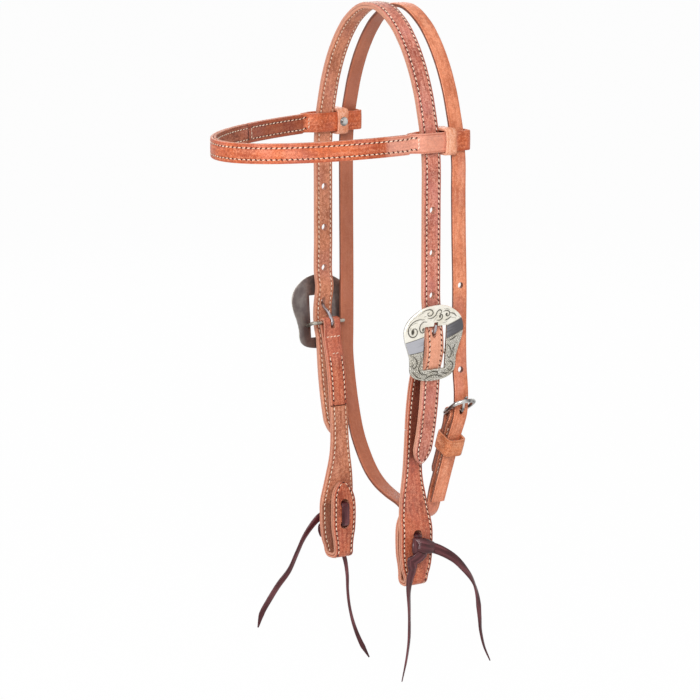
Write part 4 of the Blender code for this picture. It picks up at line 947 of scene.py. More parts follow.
def makeBandRing(word, hand):
    lowX = band["inner"] - ply / 2 - band["ringSlack"]
    highX = band["outer"] + ply / 2 + band["ringSlack"]
    high = strap["width"] / 2 + band["ringSlack"]
    level = (strap["width"] / 2 + band["throatBack"] - band["throatWidth"] / 2) / 2
    middle = Vector(((lowX + highX) / 2 * hand, level, -band["drop"]))
    sizes = ((highX - lowX) / 2, high, band["ringWall"] * 0.6, band["ringWall"], band["ringLength"] / 2)
    wrappedLoop(f"{word}BandKeeper", middle, (Vector((1, 0, 0)), upright, sideways), sizes,
                materials["paleRing"], "browband", f"{word}_browband_keeper", waist=band["waist"])
    seat = Vector((hand * (lowX - band["ringWall"]), level, -band["drop"]))
    out = Vector((-hand, 0, 0))
    radius, rise = band["rivetHead"] / 2, band["rivetRise"]
    rings = []
    for size, high in ((0.93, 0.0), (1.0, 0.12), (1.0, 0.3), (0.95, 0.45), (0.86, 0.55), (0.8, 0.56),
                       (0.74, 0.66), (0.6, 0.84), (0.4, 0.96), (0.18, 1.0), (0.02, 1.0)):
        middle = seat + out * (gap + rise * high)
        rings.append(circle(middle, sideways, upright, size * radius, size * radius, 32))
    newPiece(f"{word}Rivet", ringMesh(f"{word}Rivet", rings),
             materials["nickel"], "browband", f"{word}_keeper_rivet")


# Cheek buckles

plate = {
    "thick": 0.0022, "arch": 0.0022, "half": 0.0286, "stand": 0.0042, "top": 0.0397, "foot": 0.0230,
    "windowHalf": 0.0104, "windowBack": 0.0112, "windowTop": 0.0222, "windowFoot": 0.0134,
    "notchHalf": 0.0019, "notchRise": 0.0030, "barWire": 0.0015, "barHalf": 0.0143, "prong": 0.0013,
    "cutDeep": 0.00034, "beadRise": 0.00012, "domeRise": 0.00035, "rayTurn": 7,
    "outline": ((0.0, 1.0), (0.24, 0.985), (0.45, 0.94), (0.65, 0.86), (0.81, 0.77), (0.92, 0.67),
                (0.985, 0.555), (1.0, 0.47), (0.985, 0.36), (0.93, 0.22), (0.86, 0.09), (0.82, 0.0),
                (0.79, -0.12), (0.77, -0.35), (0.765, -0.55), (0.73, -0.71), (0.62, -0.85),
                (0.45, -0.94), (0.22, -0.99), (0.0, -1.0)),
}


# A place near a buckle: out from the leaning plate's level, across and up from the bar
def atPlate(hand, out, across, up):
    point = barLevel + plateOut * out + plateUp * up
    return Vector((hand * point.x, across, point.z))


# How far out the arched plate's back stands
def plateBack(across):
    edge = halfStrap + gap + plate["stand"] + plate["arch"] * (strap["width"] / 2 / plate["half"]) ** 2
    return edge - plate["arch"] * (across / plate["half"]) ** 2


def plateEdge():
    half = [(plate["half"] * out, (plate["top"] if up > 0 else plate["foot"]) * up)
            for out, up in plate["outline"]]
    full = half + [(-y, z) for y, z in reversed(half[1:-1])]
    return [(p.x, p.y) for p in curveThrough([Vector((*q, 0)) for q in full + full[:1]], 8)]


# Where a line from the window's centre meets the plate's outer edge
def reachOf(edge, centre, angle):
    x, y = math.cos(angle), math.sin(angle)
    for (a, b), (c, d) in zip(edge, edge[1:] + edge[:1]):
        b, d = b - centre, d - centre
        turn = x * (d - b) - y * (c - a)
        if abs(turn) < 1e-12:
            continue
        reach, share = (a * (d - b) - b * (c - a)) / turn, (a * y - b * x) / turn
        if reach > 0 and -1e-6 <= share <= 1 + 1e-6:
            return x * reach, centre + y * reach
    return 0, centre


# Where it leaves the window, which has a notch for the tongue's tip
def windowAt(centre, angle):
    x, y = math.cos(angle), math.sin(angle)
    half = (plate["windowTop"] + plate["windowFoot"]) / 2
    reach = min(plate["windowBack" if x > 0 else "windowHalf"] / max(abs(x), 1e-9), half / max(abs(y), 1e-9))
    if y > 0 and abs(x) * (half / y) < plate["notchHalf"]:
        reach = min((half + plate["notchRise"]) / y, plate["notchHalf"] / max(abs(x), 1e-9))
    return x * reach, centre + y * reach


# The engraving, a plain western scroll: lines in millimetres across and up from the bar, near side
scrolls = {
    "wide": (
        ((-11.5, 28.8), (-17.0, 29.0), (-22.2, 26.6), (-25.2, 22.2), (-24.9, 17.6), (-22.2, 15.1),
         (-19.0, 15.6), (-17.3, 18.2), (-18.2, 21.2), (-20.6, 22.0), (-22.0, 20.2), (-21.2, 18.6)),
        ((-8.8, 26.6), (-12.2, 26.9), (-14.8, 24.6), (-15.4, 21.2), (-13.8, 18.4), (-11.4, 18.2), (-10.4, 20.2),
         (-11.6, 21.8), (-12.9, 20.9)),
        ((-13.5, 35.0), (-9.0, 36.6), (-5.0, 36.2), (-3.6, 33.8), (-5.4, 31.6), (-8.2, 31.9), (-8.6, 33.8),
         (-7.0, 34.2)),
        ((-8.5, 29.4), (-4.4, 29.6), (-1.2, 31.4), (0.4, 34.4), (2.6, 35.8), (4.6, 34.6), (4.0, 32.6),
         (2.4, 32.8)),
        ((0.4, 27.4), (3.4, 27.2), (5.6, 29.0), (5.2, 31.4), (3.2, 31.4), (2.6, 29.8), (3.8, 29.2)),
        ((6.4, 33.8), (9.2, 34.6), (12.4, 33.2), (12.6, 30.8), (10.4, 29.8), (8.8, 31.2), (10.0, 32.2)),
        ((13.6, 32.2), (17.4, 31.0), (20.4, 28.2)), ((8.2, 26.4), (11.6, 27.4), (14.6, 29.2)),
    ),
    "fine": (
        ((-17.6, 31.4), (-14.4, 33.8), (-10.8, 34.8)), ((-20.6, 29.8), (-18.0, 32.2)),
        ((-26.0, 24.6), (-23.8, 28.0), (-20.6, 30.8)), ((-12.0, 31.0), (-9.8, 31.6)),
        ((-22.8, 24.4), (-20.4, 26.2), (-17.4, 26.8)), ((-23.8, 20.0), (-23.2, 22.6)),
        ((6.8, 36.0), (10.4, 35.8), (14.0, 34.0)), ((14.0, 28.0), (17.4, 27.8), (20.4, 26.6)),
        ((-3.0, 26.6), (-0.6, 29.0), (1.0, 31.4)), ((5.8, 24.8), (8.6, 24.6), (10.8, 25.6)),
        ((21.6, 28.6), (24.6, 26.6)), ((-6.0, 27.8), (-3.6, 28.2)),
    ),
    "leaves": (((-21.5, 19.2), 1.5, 2.6), ((-12.2, 20.4), 0.9, 1.5), ((9.8, 31.6), 1.1, 1.0),
               ((3.4, 30.4), 0.9, 1.1)),
    "bands": (((-30.0, 9.7), (-9.0, 14.7)), ((-30.0, -0.4), (-9.0, 2.6)),
              ((9.0, 21.4), (30.0, 28.0)), ((9.0, 10.2), (30.0, 17.0))),
    "low": (
        ((-20.5, -0.5), (-17.0, -4.0), (-16.2, -8.4), (-18.4, -11.2), (-20.2, -9.0), (-18.6, -7.2)),
        ((-13.0, -1.5), (-12.4, -6.5), (-14.4, -11.5), (-12.0, -16.0), (-7.6, -17.0), (-6.2, -19.6)),
        ((-20.0, -14.0), (-16.0, -17.8), (-11.0, -20.6)),
        ((-9.0, -21.4), (-3.0, -18.6), (3.0, -18.4), (9.0, -20.6)),
        ((-4.0, -16.0), (0.0, -15.2), (4.0, -16.2), (2.6, -18.0)),
        ((12.2, 6.0), (15.6, 2.6), (16.8, -2.4), (15.0, -5.6), (12.8, -3.4)),
        ((20.4, 6.0), (18.6, 0.4), (19.6, -5.0)),
        ((13.4, -8.2), (17.6, -9.2), (19.4, -13.0), (16.4, -16.4), (13.4, -13.8)),
        ((8.0, -16.6), (12.0, -18.2), (15.0, -17.6)), ((14.0, 9.4), (18.0, 10.4), (21.6, 12.4)),
    ),
}


def denseLine(line, scale=0.001, step=0.00035):
    points = [Vector((a * scale, b * scale, 0)) for a, b in line]
    if len(points) > 2:
        points = curveThrough(points, 10)
    return np.array([(p.x, p.y) for p in evenly(points, step)])


# Short leaf strokes that spring from both sides of each scroll
def feathers(lines, spacing, length, turnDeg):
    made = []
    for line in lines:
        dense = denseLine(line, 1.0, spacing)
        for number in range(1, len(dense) - 2):
            heading = dense[number + 1] - dense[number - 1]
            heading = heading / max(np.hypot(*heading), 1e-9)
            for turn in (turnDeg, -turnDeg):
                angle = math.radians(turn)
                c, s = math.cos(angle), math.sin(angle)
                way = np.array((heading[0] * c - heading[1] * s, heading[0] * s + heading[1] * c))
                start = dense[number] + way * 0.55
                made.append((tuple(start), tuple(start + way * length + heading * length * 0.35)))
    return made


# Strokes that fan out to the edge of the foot, first to last in degrees round the window
def rays(first, last, spacing, near, far):
    made = []
    for number in range(round((last - first) / spacing)):
        angle = math.radians(first + spacing * number)
        ends = ((near, angle), (far, angle + math.radians(plate["rayTurn"])))
        made.append(tuple((28.0 * r * math.cos(t), 4.0 + 27.5 * r * math.sin(t)) for r, t in ends))
    return made


# How deep each place is cut: 1 on a line's middle, 0 beyond its half width
def depthFrom(grid, lines, widest, taper=True):
    best = np.zeros(len(grid))
    for line in lines:
        dense = denseLine(line)
        share = np.linspace(0, 1, len(dense))
        width = np.full(len(dense), widest)
        if taper:
            width = widest * (0.35 + 0.65 * np.sin(math.pi * np.clip(share * 0.92 + 0.04, 0, 1)) ** 0.7)
        away = np.linalg.norm(grid[:, None, :] - dense[None, :, :], axis=2) / width[None, :]
        best = np.maximum(best, np.clip(1 - away.min(axis=1), 0, 1))
    return best


# Zones that the silver reads: plain band, matted foot and the back; scroll ground is 0
zones = {"band": 0.35, "foot": 0.8, "rear": 1.6}

# Every stroke: lines, half width in the middle, and how deep it goes
strokes = (
    (scrolls["wide"], 0.00075, 1.0), (scrolls["fine"], 0.00042, 0.8), (scrolls["low"], 0.0007, 1.0),
    (feathers(scrolls["wide"], 1.5, 1.1, 62), 0.0003, 0.5),
    (feathers(scrolls["low"], 1.7, 1.3, 58), 0.00034, 0.6),
    (rays(-165, -15, 5.5, 0.8, 0.93), 0.00036, 0.7),
)


# Depth of cut and zone for places on the plate
def engraved(across, up):
    grid = np.stack([across, up], axis=1)
    cut = np.zeros(len(grid))
    for lines, widest, deep in strokes:
        cut = np.maximum(cut, depthFrom(grid, lines, widest) * deep)
    for (a, b), wide, high in scrolls["leaves"]:
        away = np.hypot((across - a * 0.001) / (wide * 0.001), (up - b * 0.001) / (high * 0.001))
        cut = np.maximum(cut, np.clip(1.3 - away, 0, 1))
    borders = depthFrom(grid, scrolls["bands"], 0.0005, taper=False)
    zone = np.zeros(len(grid))

    def level(line, x):
        (a, b), (c, d) = line
        return (b + (d - b) * (x * 1000 - a) / (c - a)) * 0.001

    left, right = scrolls["bands"][:2], scrolls["bands"][2:]
    for (top, low), side in ((left, across < 0), (right, across > 0)):
        inside = side & (up < level(top, across)) & (up > level(low, across))
        zone = np.where(inside, zones["band"], zone)
        zone = np.where(side & (up <= level(low, across)), zones["foot"], zone)
    return np.maximum(np.where(zone == zones["band"], 0, cut), borders * 0.9), zone


def makePlate(word, hand):
    centre = (plate["windowTop"] - plate["windowFoot"]) / 2
    half = (plate["windowTop"] + plate["windowFoot"]) / 2
    edge = plateEdge()
    front, behind = math.atan2(half, plate["windowHalf"]), math.atan2(half, plate["windowBack"])
    notch = [math.atan2(half, plate["notchHalf"]), math.atan2(half + plate["notchRise"], plate["notchHalf"])]
    corners = [behind, -behind, math.pi - front, front - math.pi, *notch, *(math.pi - angle for angle in notch)]
    fixed = sorted(angle % math.tau for angle in corners)
    angles = []
    for one, two in zip(fixed, fixed[1:] + [fixed[0] + math.tau]):
        count = max(2, round(math.degrees(two - one) / 0.9))
        angles += [one + (two - one) * k / count for k in range(count)]
    # round the metal: (share of the way from the window to the edge, share of the thickness)
    rise, steps = plate["thick"], 34
    places = [(0.004, 0.72), (0.012, 0.9), *((0.03 + 0.94 * k / steps, 1.0) for k in range(steps + 1)),
              (0.985, 0.9), (0.996, 0.7)]
    places += [(0.998, 0.2), (0.97, 0.0), (0.6, 0.0), (0.3, 0.0), (0.03, 0.0), (0.002, 0.12)]
    rows = []
    for angle in angles:
        inner, outer = windowAt(centre, angle + 1e-7), reachOf(edge, centre, angle)
        wayX, wayY = outer[0] - inner[0], outer[1] - inner[1]
        rows.append([(inner[0] + wayX * share, inner[1] + wayY * share, high) for share, high in places])
    flatRows = np.array(rows).reshape(-1, 3)
    cut, zone = engraved(flatRows[:, 0], flatRows[:, 1])
    onFront = flatRows[:, 2] >= 0.999
    cut = np.where(onFront, cut, 0)
    zone = np.where(flatRows[:, 2] > 0.6, zone, zones["rear"])
    # a raised bead runs round the outside edge
    metalShare = np.tile(np.array([share for share, _ in places]), len(angles))
    bead = np.clip(1 - np.abs(metalShare - 0.965) / 0.03, 0, 1) * onFront
    dome = np.sin(np.clip(metalShare, 0, 1) * math.pi) * plate["domeRise"] * onFront
    width = len(places)
    points = []
    for k, (y, z, high) in enumerate(flatRows):
        out = plateBack(y) + rise * high + dome[k] - plate["cutDeep"] * cut[k] + plate["beadRise"] * bead[k]
        points.append(atPlate(hand, min(out, plateBack(y) + rise + 0.0004), y, z))
    rings = [points[k * width:(k + 1) * width] for k in range(len(angles))]
    maps = {"lay": flatRows[:, :2], "cuts": np.stack([cut, zone], axis=1)}
    mesh = ringMesh(f"{word}Plate", rings, maps, closed=True)
    piece = newPiece(f"{word}BucklePlate", mesh, materials["silver"], "crown", f"{word}_buckle_plate")
    piece.data.set_sharp_from_angle(angle=math.radians(65))


# A round wire along points, its ends rounded unless it is closed
def wireMesh(name, points, radius, side, closed=False, sides=18):
    rings, count = [], len(points)
    for number, here in enumerate(points):
        before = points[number - 1] if closed or number else here
        after = points[(number + 1) % count] if closed or number < count - 1 else here
        heading = (after - before).normalized()
        up = heading.cross(side).normalized()
        across = up.cross(heading).normalized()
        size = radius[number] if isinstance(radius, list) else radius
        rings.append(circle(here, across, up, size, size, sides))
    if not closed:
        for end, toward in ((0, 1), (-1, -2)):
            middle = points[end]
            heading = (middle - points[toward]).normalized()
            length = (radius[end] if isinstance(radius, list) else radius) * 0.4
            caps = [[middle + (p - middle) * size + heading * (length * push) for p in rings[end]]
                    for size, push in ((0.9, 0.3), (0.62, 0.62), (0.2, 0.75))]
            rings = list(reversed(caps)) + rings if end == 0 else rings + caps
    return ringMesh(name, rings, closed=closed)


# A tongue's line: an eye round its bar, then a route in the plane across the bar
def tongueLine(middle, eye, fromDeg, sweepDeg, route, placed):
    points = arc(middle, 0, eye, fromDeg, -sweepDeg, 24)
    smooth = curveThrough([Vector((a, 0, b)) for a, b in (points[-1], *route)], 10)
    line = [placed(a, b) for a, b in points[:-1]] + [placed(p.x, p.z) for p in smooth]
    return evenly(line, strap["wireStep"])


def makeBar(word, hand):
    wire, half = plate["barWire"], plate["barHalf"]
    bend, drop = wire * 1.5, wire * 2
    reach = plateBack(half + wire) - gap - wire * 0.3
    line = [(-barBack, (half - bend) * share, 0.0) for share in (0.0, 0.25, 0.5, 0.75)]
    for k in range(9):
        angle = math.radians(90 * k / 8)
        line.append((-barBack + bend - math.cos(angle) * bend, half - bend + math.sin(angle) * bend, 0.0))
    for share in (0.25, 0.5, 0.75, 1.0):
        line.append((-barBack + bend + (reach + barBack - bend) * share, half, drop * share ** 1.5))
    right = [atPlate(hand, out, across, -low) for out, across, low in line]
    left = [Vector((p.x, -p.y, p.z)) for p in right[1:]]
    points = evenly(list(reversed(left)) + right, strap["laceStep"])
    side = Vector((hand * plateUp.x, 0, plateUp.z))
    newPiece(f"{word}BuckleBar", wireMesh(f"{word}Bar", points, wire, side),
             materials["plainSilver"], "crown", f"{word}_buckle_bar")


def makeTongue(word, hand):
    eye = plate["barWire"] + gap + plate["prong"]
    hole, rest = crown["holeFirst"], plateBack(0) + plate["thick"]
    route = [(-halfStrap * 2.6, hole * 0.58), (-halfStrap * 1.25, hole * 0.83), (0.0, hole),
             (halfStrap * 1.2, hole * 1.22), (rest * 0.82, hole * 1.56),
             (rest, plate["windowTop"] + plate["notchRise"] * 0.35)]
    line = tongueLine(-barBack, eye, 40, 250, route, lambda out, up: atPlate(hand, out, 0, up))
    runs = runsOf(line)
    radius = [plate["prong"] * table((0.0, 0.002, 0.005), (0.62, 0.9, 1.0), runs[-1] - run) for run in runs]
    newPiece(f"{word}BuckleTongue", wireMesh(f"{word}Tongue", line, radius, sideways),
             materials["tongue"], f"{word}_tongue", f"{word}_buckle_tongue")


# Cheeks

cheek = {
    "stepDown": 0.070, "foot": 0.468, "loopMiddle": 0.05455, "loopHalf": 0.00575, "loopRound": 0.00375,
    "neck": 0.017, "wide": 0.0305, "fold": 0.0190, "flapWide": 0.0225, "flapHeight": 0.063, "flapTip": 0.0045,
    "highRise": 0.0465, "lowRise": 0.0285, "slotWide": 0.0086, "slotHigh": 0.0080, "seamFrom": 0.028,
    "lowLift": 0.0010, "nearDrop": 0.0032, "offDrop": -0.0008, "plainPast": 0.009, "tongueSlot": 0.0021,
    "shares": ((0.88, 0.09), (0.53, 0.215), (0.31, 0.34), (0.17, 0.485), (0.07, 0.62), (0.05, 0.735),
               (0.13, 0.835), (0.28, 0.925)),
}
tieHigh, tieLow = cheek["foot"] - cheek["highRise"], cheek["foot"] - cheek["lowRise"]


# The near side's upper tie hole sits lower than the off side's
def highDrop(hand):
    return cheek["nearDrop"] if hand > 0 else cheek["offDrop"]


# The near cheek's middle line, down from the bar, round the bit's place and up the flap, with its half widths
def cheekFrames():
    foot = -cheek["foot"] + halfStrap
    middle, off, bend = cheek["loopMiddle"], cheek["loopHalf"], cheek["loopRound"]
    outer, inner, low = middle + off, middle - off, foot + cheek["loopRound"]
    run = barMiddle.z + tieHigh
    points = [barMiddle]
    points += [Vector((middle - off * 0.13 + (barMiddle.x - middle) * share, 0, barMiddle.z - run * down))
               for share, down in cheek["shares"]]
    points += [Vector((outer, 0, z)) for z in (-tieHigh, -tieLow + strap["width"] / 2, -tieLow, low)]
    upper = curveThrough(points)
    arcs = []
    for centre, start in ((Vector((outer - bend, 0, low)), 0), (Vector((inner + bend, 0, low)), -90)):
        for k in range(13):
            angle = math.radians(start - 90 * k / 12)
            arcs.append(centre + Vector((math.cos(angle), 0, math.sin(angle))) * bend)
    tip = foot + cheek["flapHeight"]
    lap = halfStrap * 2 + gap * 2
    beside = min(upper, key=lambda p: abs(p.z - tip)).x
    flap = curveThrough([Vector((inner, 0, low)), Vector((inner, 0, -tieLow)), Vector((inner, 0, -tieHigh)),
                         Vector((inner + (beside - lap - inner) * 0.55, 0, (tip - tieHigh) / 2)),
                         Vector((beside - lap, 0, tip))])
    footRun = runsOf(upper)[-1]
    points = evenly(upper[:-1] + arcs + flap[1:], strap["cheekStep"])
    runs = runsOf(points)
    end, high = runs[-1], footRun - (cheek["foot"] - tieHigh)
    rest, flapRun = footRun - high, end - footRun
    places = [high * share for share in (0.0, 0.37, 0.71, 0.884, 0.987)]
    places += [high + rest * share for share in (0.26, 0.55, 0.80, 0.96)]
    places += [footRun + flapRun * share for share in (0.11, 0.22, 0.34, 0.45, 0.64)]
    places += [end - crown["tailPoint"] * share for share in (1.0, 0.45, 0.15, 0.0)]
    wide, flapWide = cheek["wide"], cheek["flapWide"]
    halves = [strap["width"] / 2, strap["width"] / 2, cheek["neck"] / 2, wide * 0.41, wide * 0.48, wide / 2,
              wide * 0.49, wide * 0.44, wide * 0.36, cheek["fold"] / 2, flapWide * 0.375, flapWide * 0.41,
              flapWide * 0.475, flapWide / 2, flapWide * 0.46,
              flapWide * 0.34, flapWide * 0.22, cheek["flapTip"] / 2]
    dense = curveThrough([Vector((a, b, 0)) for a, b in zip(places, halves)], 8)
    xs, ys = [p.x for p in dense], [p.y for p in dense]
    order = np.argsort(xs)
    widths = np.interp(runs, np.array(xs)[order], np.array(ys)[order])
    normals = normalsOf(points, sideways)
    return [(p, n, run, float(half)) for p, n, run, half in zip(points, normals, runs, widths)]


# How far apart the layers stand below the bar, which they leave with room for its wire
def spread(run):
    openHalf = plate["barWire"] + gap + ply / 2
    return layerShift + (openHalf - layerShift) * (1 - eased(run / (cheek["stepDown"] / 4)))


# Stations of a strap that bends round a wire, low above its middle
def roundWire(middle, fromDeg, sweepDeg, half, low, thick):
    turns = [math.radians(fromDeg + sweepDeg * k / 24) for k in range(25)]
    return [(middle, Vector((math.cos(turn), 0, math.sin(turn))), sideways, half, low, low + thick)
            for turn in turns]


def cheekStations():
    frames = cheekFrames()
    half = strap["width"] / 2
    legEnd = [(p, -n, sideways, half, spread(run) - ply / 2, spread(run) + ply / 2)
              for p, n, run, _ in frames if 0.0001 < run < cheek["stepDown"] + 0.0007]
    first = frames[1][1]
    startDeg = math.degrees(math.atan2(first.z, first.x))
    around = roundWire(barMiddle, startDeg + 180, -180, half, plate["barWire"] + gap, ply)
    outerLeg = [(p, n, sideways, width, spread(run) - ply / 2, spread(run) + ply / 2)
                for p, n, run, width in frames[1:]]
    lining = [(p, n, sideways, width, -layerShift - ply / 2, -layerShift + ply / 2)
              for p, n, run, width in frames if run > cheek["stepDown"] + gap]
    return legEnd, around, outerLeg, lining


def makeCheek(word, hand):
    legEnd, around, outerLeg, lining = cheekStations()
    if hand < 0:
        legEnd, around, outerLeg, lining = (otherHand(part) for part in (legEnd, around, outerLeg, lining))
    whole = list(reversed(legEnd)) + around + outerLeg
    legRun = stationRuns(legEnd)[-1]
    body = f"{word}_cheek"
    bare = [(legRun - cheek["seamFrom"], legRun + cheek["plainPast"])]
    # the billet keeps the light from the leather behind it
    plateRun = legRun + crown["plateFoot"]
    behind = [(plateRun - 0.008, plateRun + crown["tailLength"] + 0.003, 1.5, -0.0064, 0.009)]
    outer = newPiece(f"{word}CheekOuter", strapMesh(f"{word}CheekOuter", whole, "both", bare, behind),
                     materials["cheek"], body, f"{word}_cheek_outer_ply")
    inside = stationRuns(lining)
    foot = inside[min(range(len(lining)), key=lambda k: lining[k][0].z)]
    # painted shade on the lining round the bit loop and up the flap
    dim = [(foot - cheek["flapHeight"] * 0.8, inside[-1] - 0.016, 1.0)]
    inner = newPiece(f"{word}CheekLining", strapMesh(f"{word}CheekLining", lining, "inner", dim=dim),
                     materials["inside"], body, f"{word}_cheek_lining_ply")
    pins = []
    for drop in (tieHigh + highDrop(hand), tieLow - cheek["lowLift"]):
        pins.append((Vector((cheek["loopMiddle"] * hand, 0, -drop)), Vector((hand, 0, 0)), sideways,
                     cheek["slotWide"] / 2, cheek["slotHigh"] / 2, 0.013))
    drilled(inner, pins)
    drilled(outer, pins)
    first = cheekFrames()[1][1]
    down = Vector((first.z, 0, -first.x))
    flip = Vector((hand, 1, 1))
    slotted(outer, (barMiddle - down * (ply * 0.3)) * flip, (sideways, first * flip, down * flip),
            (cheek["tongueSlot"], ply * 2 + plate["barWire"] * 2, (plate["barWire"] + ply) * 1.65))
    seam = legRun - cheek["seamFrom"]
    marks = rowMarks(whole, 1, first=0.004, last=seam) + rowMarks(whole, 1, first=legRun + 0.010)
    marks += rowMarks(lining, -1, last=foot - 0.004) + crossRow(whole, seam + 0.0015, 2, inset=0.0045)
    marks += crossRow(whole, legRun - 0.0120, 4, inset=0.0012)
    stitched(f"{word}CheekStitches", marks, body)


# Lace ties

lace = {"wide": 0.0074, "thick": 0.0018, "knotWide": 0.023, "knotDeep": 0.0085, "tailWide": 0.0066}


# A flat soft lace: an oval section with its flat side to the outward direction
def laceMesh(name, points, outs, widths, thick, sides=20):
    rings, lay, runs = [], [], runsOf(points)
    for number, here in enumerate(points):
        before, after = points[max(number - 1, 0)], points[min(number + 1, len(points) - 1)]
        heading = (after - before).normalized()
        out = (outs[number] - heading * outs[number].dot(heading)).normalized()
        side = out.cross(heading).normalized()
        wide, high = widths[number] / 2, thick[number] / 2 if isinstance(thick, list) else thick / 2
        ring = []
        for k in range(sides):
            angle = math.tau * k / sides
            c, s = math.cos(angle), math.sin(angle)
            x = wide * math.copysign(abs(c) ** 0.6, c)
            y = high * math.copysign(abs(s) ** 0.75, s)
            ring.append(here + side * x + out * y)
            lay.append((runs[number], x))
        rings.append(ring)
    return ringMesh(name, rings, {"lay": np.array(lay)})


# The near knot sits on the cheek's face, just below the lower hole
def knotMiddle():
    face = cheek["loopMiddle"] + cheek["loopHalf"] + halfStrap + gap
    return Vector((face + lace["knotDeep"] / 2, lace["knotWide"] * 0.04, -(tieLow + (tieLow - tieHigh) * 0.12)))


def makeTieLoop(word, hand):
    turn = lace["thick"]
    face = cheek["loopMiddle"] + cheek["loopHalf"] + halfStrap + gap + turn / 2
    back = cheek["loopMiddle"] - cheek["loopHalf"] - halfStrap - gap - turn / 2
    hook = tieLow - (tieLow - tieHigh) * 0.68
    high, low, end = -tieHigh - highDrop(hand), -tieLow, cheek["loopMiddle"] + cheek["loopHalf"] + halfStrap
    route = [(face, -hook), (face, high - turn), (face - turn * 0.4, high - turn * 0.4), (face - turn, high),
             (back + turn, high), (back + turn * 0.4, high - turn * 0.4), (back, high - turn),
             (back, low + turn), (back + turn * 0.4, low + turn * 0.4), (back + turn, low), (end, low)]
    points = evenly([Vector((hand * x, 0, z)) for x, z in route], strap["wireStep"])
    groups = [points[max(k - 1, 0):k + 2] for k in range(len(points))]
    points = [sum(group, Vector()) / len(group) for group in groups]
    outs = [n * hand for n in normalsOf(points, sideways)]
    mesh = laceMesh(f"{word}TieLoop", points, outs, [lace["wide"]] * len(points), lace["thick"])
    newPiece(f"{word}TieLoop", mesh, materials["lace"], f"{word}_cheek", f"{word}_tie_loop")


# Laces of the knot, in millimetres (across, up, out) from its middle: (route, widths, thickness)
knotLaces = (
    (((-4.2, 19.0, -3.2), (-4.8, 16.5, -0.6), (-5.6, 12.5, 1.5), (-5.8, 8.0, 2.2), (-5.0, 3.5, 1.4),
      (-4.4, 1.0, 0.0)),
     (6.4, 7.0, 8.6, 9.4, 9.0, 7.0), 2.4),
    (((-8.4, 12.2, -1.6), (-5.0, 12.6, 1.2), (-0.5, 11.0, 3.6), (4.0, 9.0, 3.5), (8.6, 7.2, 2.4),
      (12.6, 6.0, 1.1)),
     (8.4, 10.4, 12.4, 11.8, 10.0, 7.8), 2.4),
    (((2.6, 4.4, -0.6), (0.6, 3.2, 1.8), (-3.4, 1.2, 3.0), (-7.6, -1.2, 2.6), (-10.4, -3.4, 0.6),
      (-10.8, -4.6, -1.6)),
     (8.0, 9.0, 9.4, 9.0, 8.0, 6.6), 2.4),
    (((-9.8, 1.6, 0.2), (-10.4, -1.4, 1.2), (-10.2, -4.8, 1.3), (-9.4, -8.0, 0.8), (-8.4, -11.4, 0.0)),
     (6.4, 7.6, 8.4, 8.0, 7.4), 2.2),
    (((-7.0, 8.0, -1.6), (-3.0, 6.6, -1.0), (1.0, 6.0, -1.0), (5.0, 6.4, -1.6)),
     (12.0, 13.0, 12.5, 9.0), 3.4),
)


def makeKnot(word, hand):
    middle = knotMiddle() * Vector((hand, 1, 1))
    out = Vector((hand, 0, 0))
    pieces = []
    lowered = highDrop(hand) * 80        # the lace's upper turns go down with the hole that it comes out of
    for number, (route, wide, thick) in enumerate(knotLaces):
        route = [(a, b - max(b - 6, 0) * lowered, c) for a, b, c in route]
        points = [middle + sideways * (a * 0.001) + upright * (b * 0.001) + out * (c * 0.001)
                  for a, b, c in route]
        points = evenly(curveThrough(points, 8), strap["laceStep"])
        runs = runsOf(points)
        places = [runs[-1] * k / (len(wide) - 1) for k in range(len(wide))]
        widths = [table(places, wide, run) * 0.001 for run in runs]
        ends = [min(1.0, 0.35 + 0.65 * eased(min(run, runs[-1] - run) / 0.0022)) for run in runs]
        outs = [(out + (p - middle) * 26).normalized() for p in points]
        widths = [width * end for width, end in zip(widths, ends)]
        pieces.append(laceMesh(f"strand{number}", points, outs, widths, [thick * 0.001 * end for end in ends]))
    work = bmesh.new()
    for mesh in pieces:
        work.from_mesh(mesh)
        bpy.data.meshes.remove(mesh)
    joined = bpy.data.meshes.new(f"{word}Knot")
    work.to_mesh(joined)
    work.free()
    joined.shade_smooth()
    newPiece(f"{word}TieKnot", joined, materials["lace"], f"{word}_cheek", f"{word}_tie_knot")


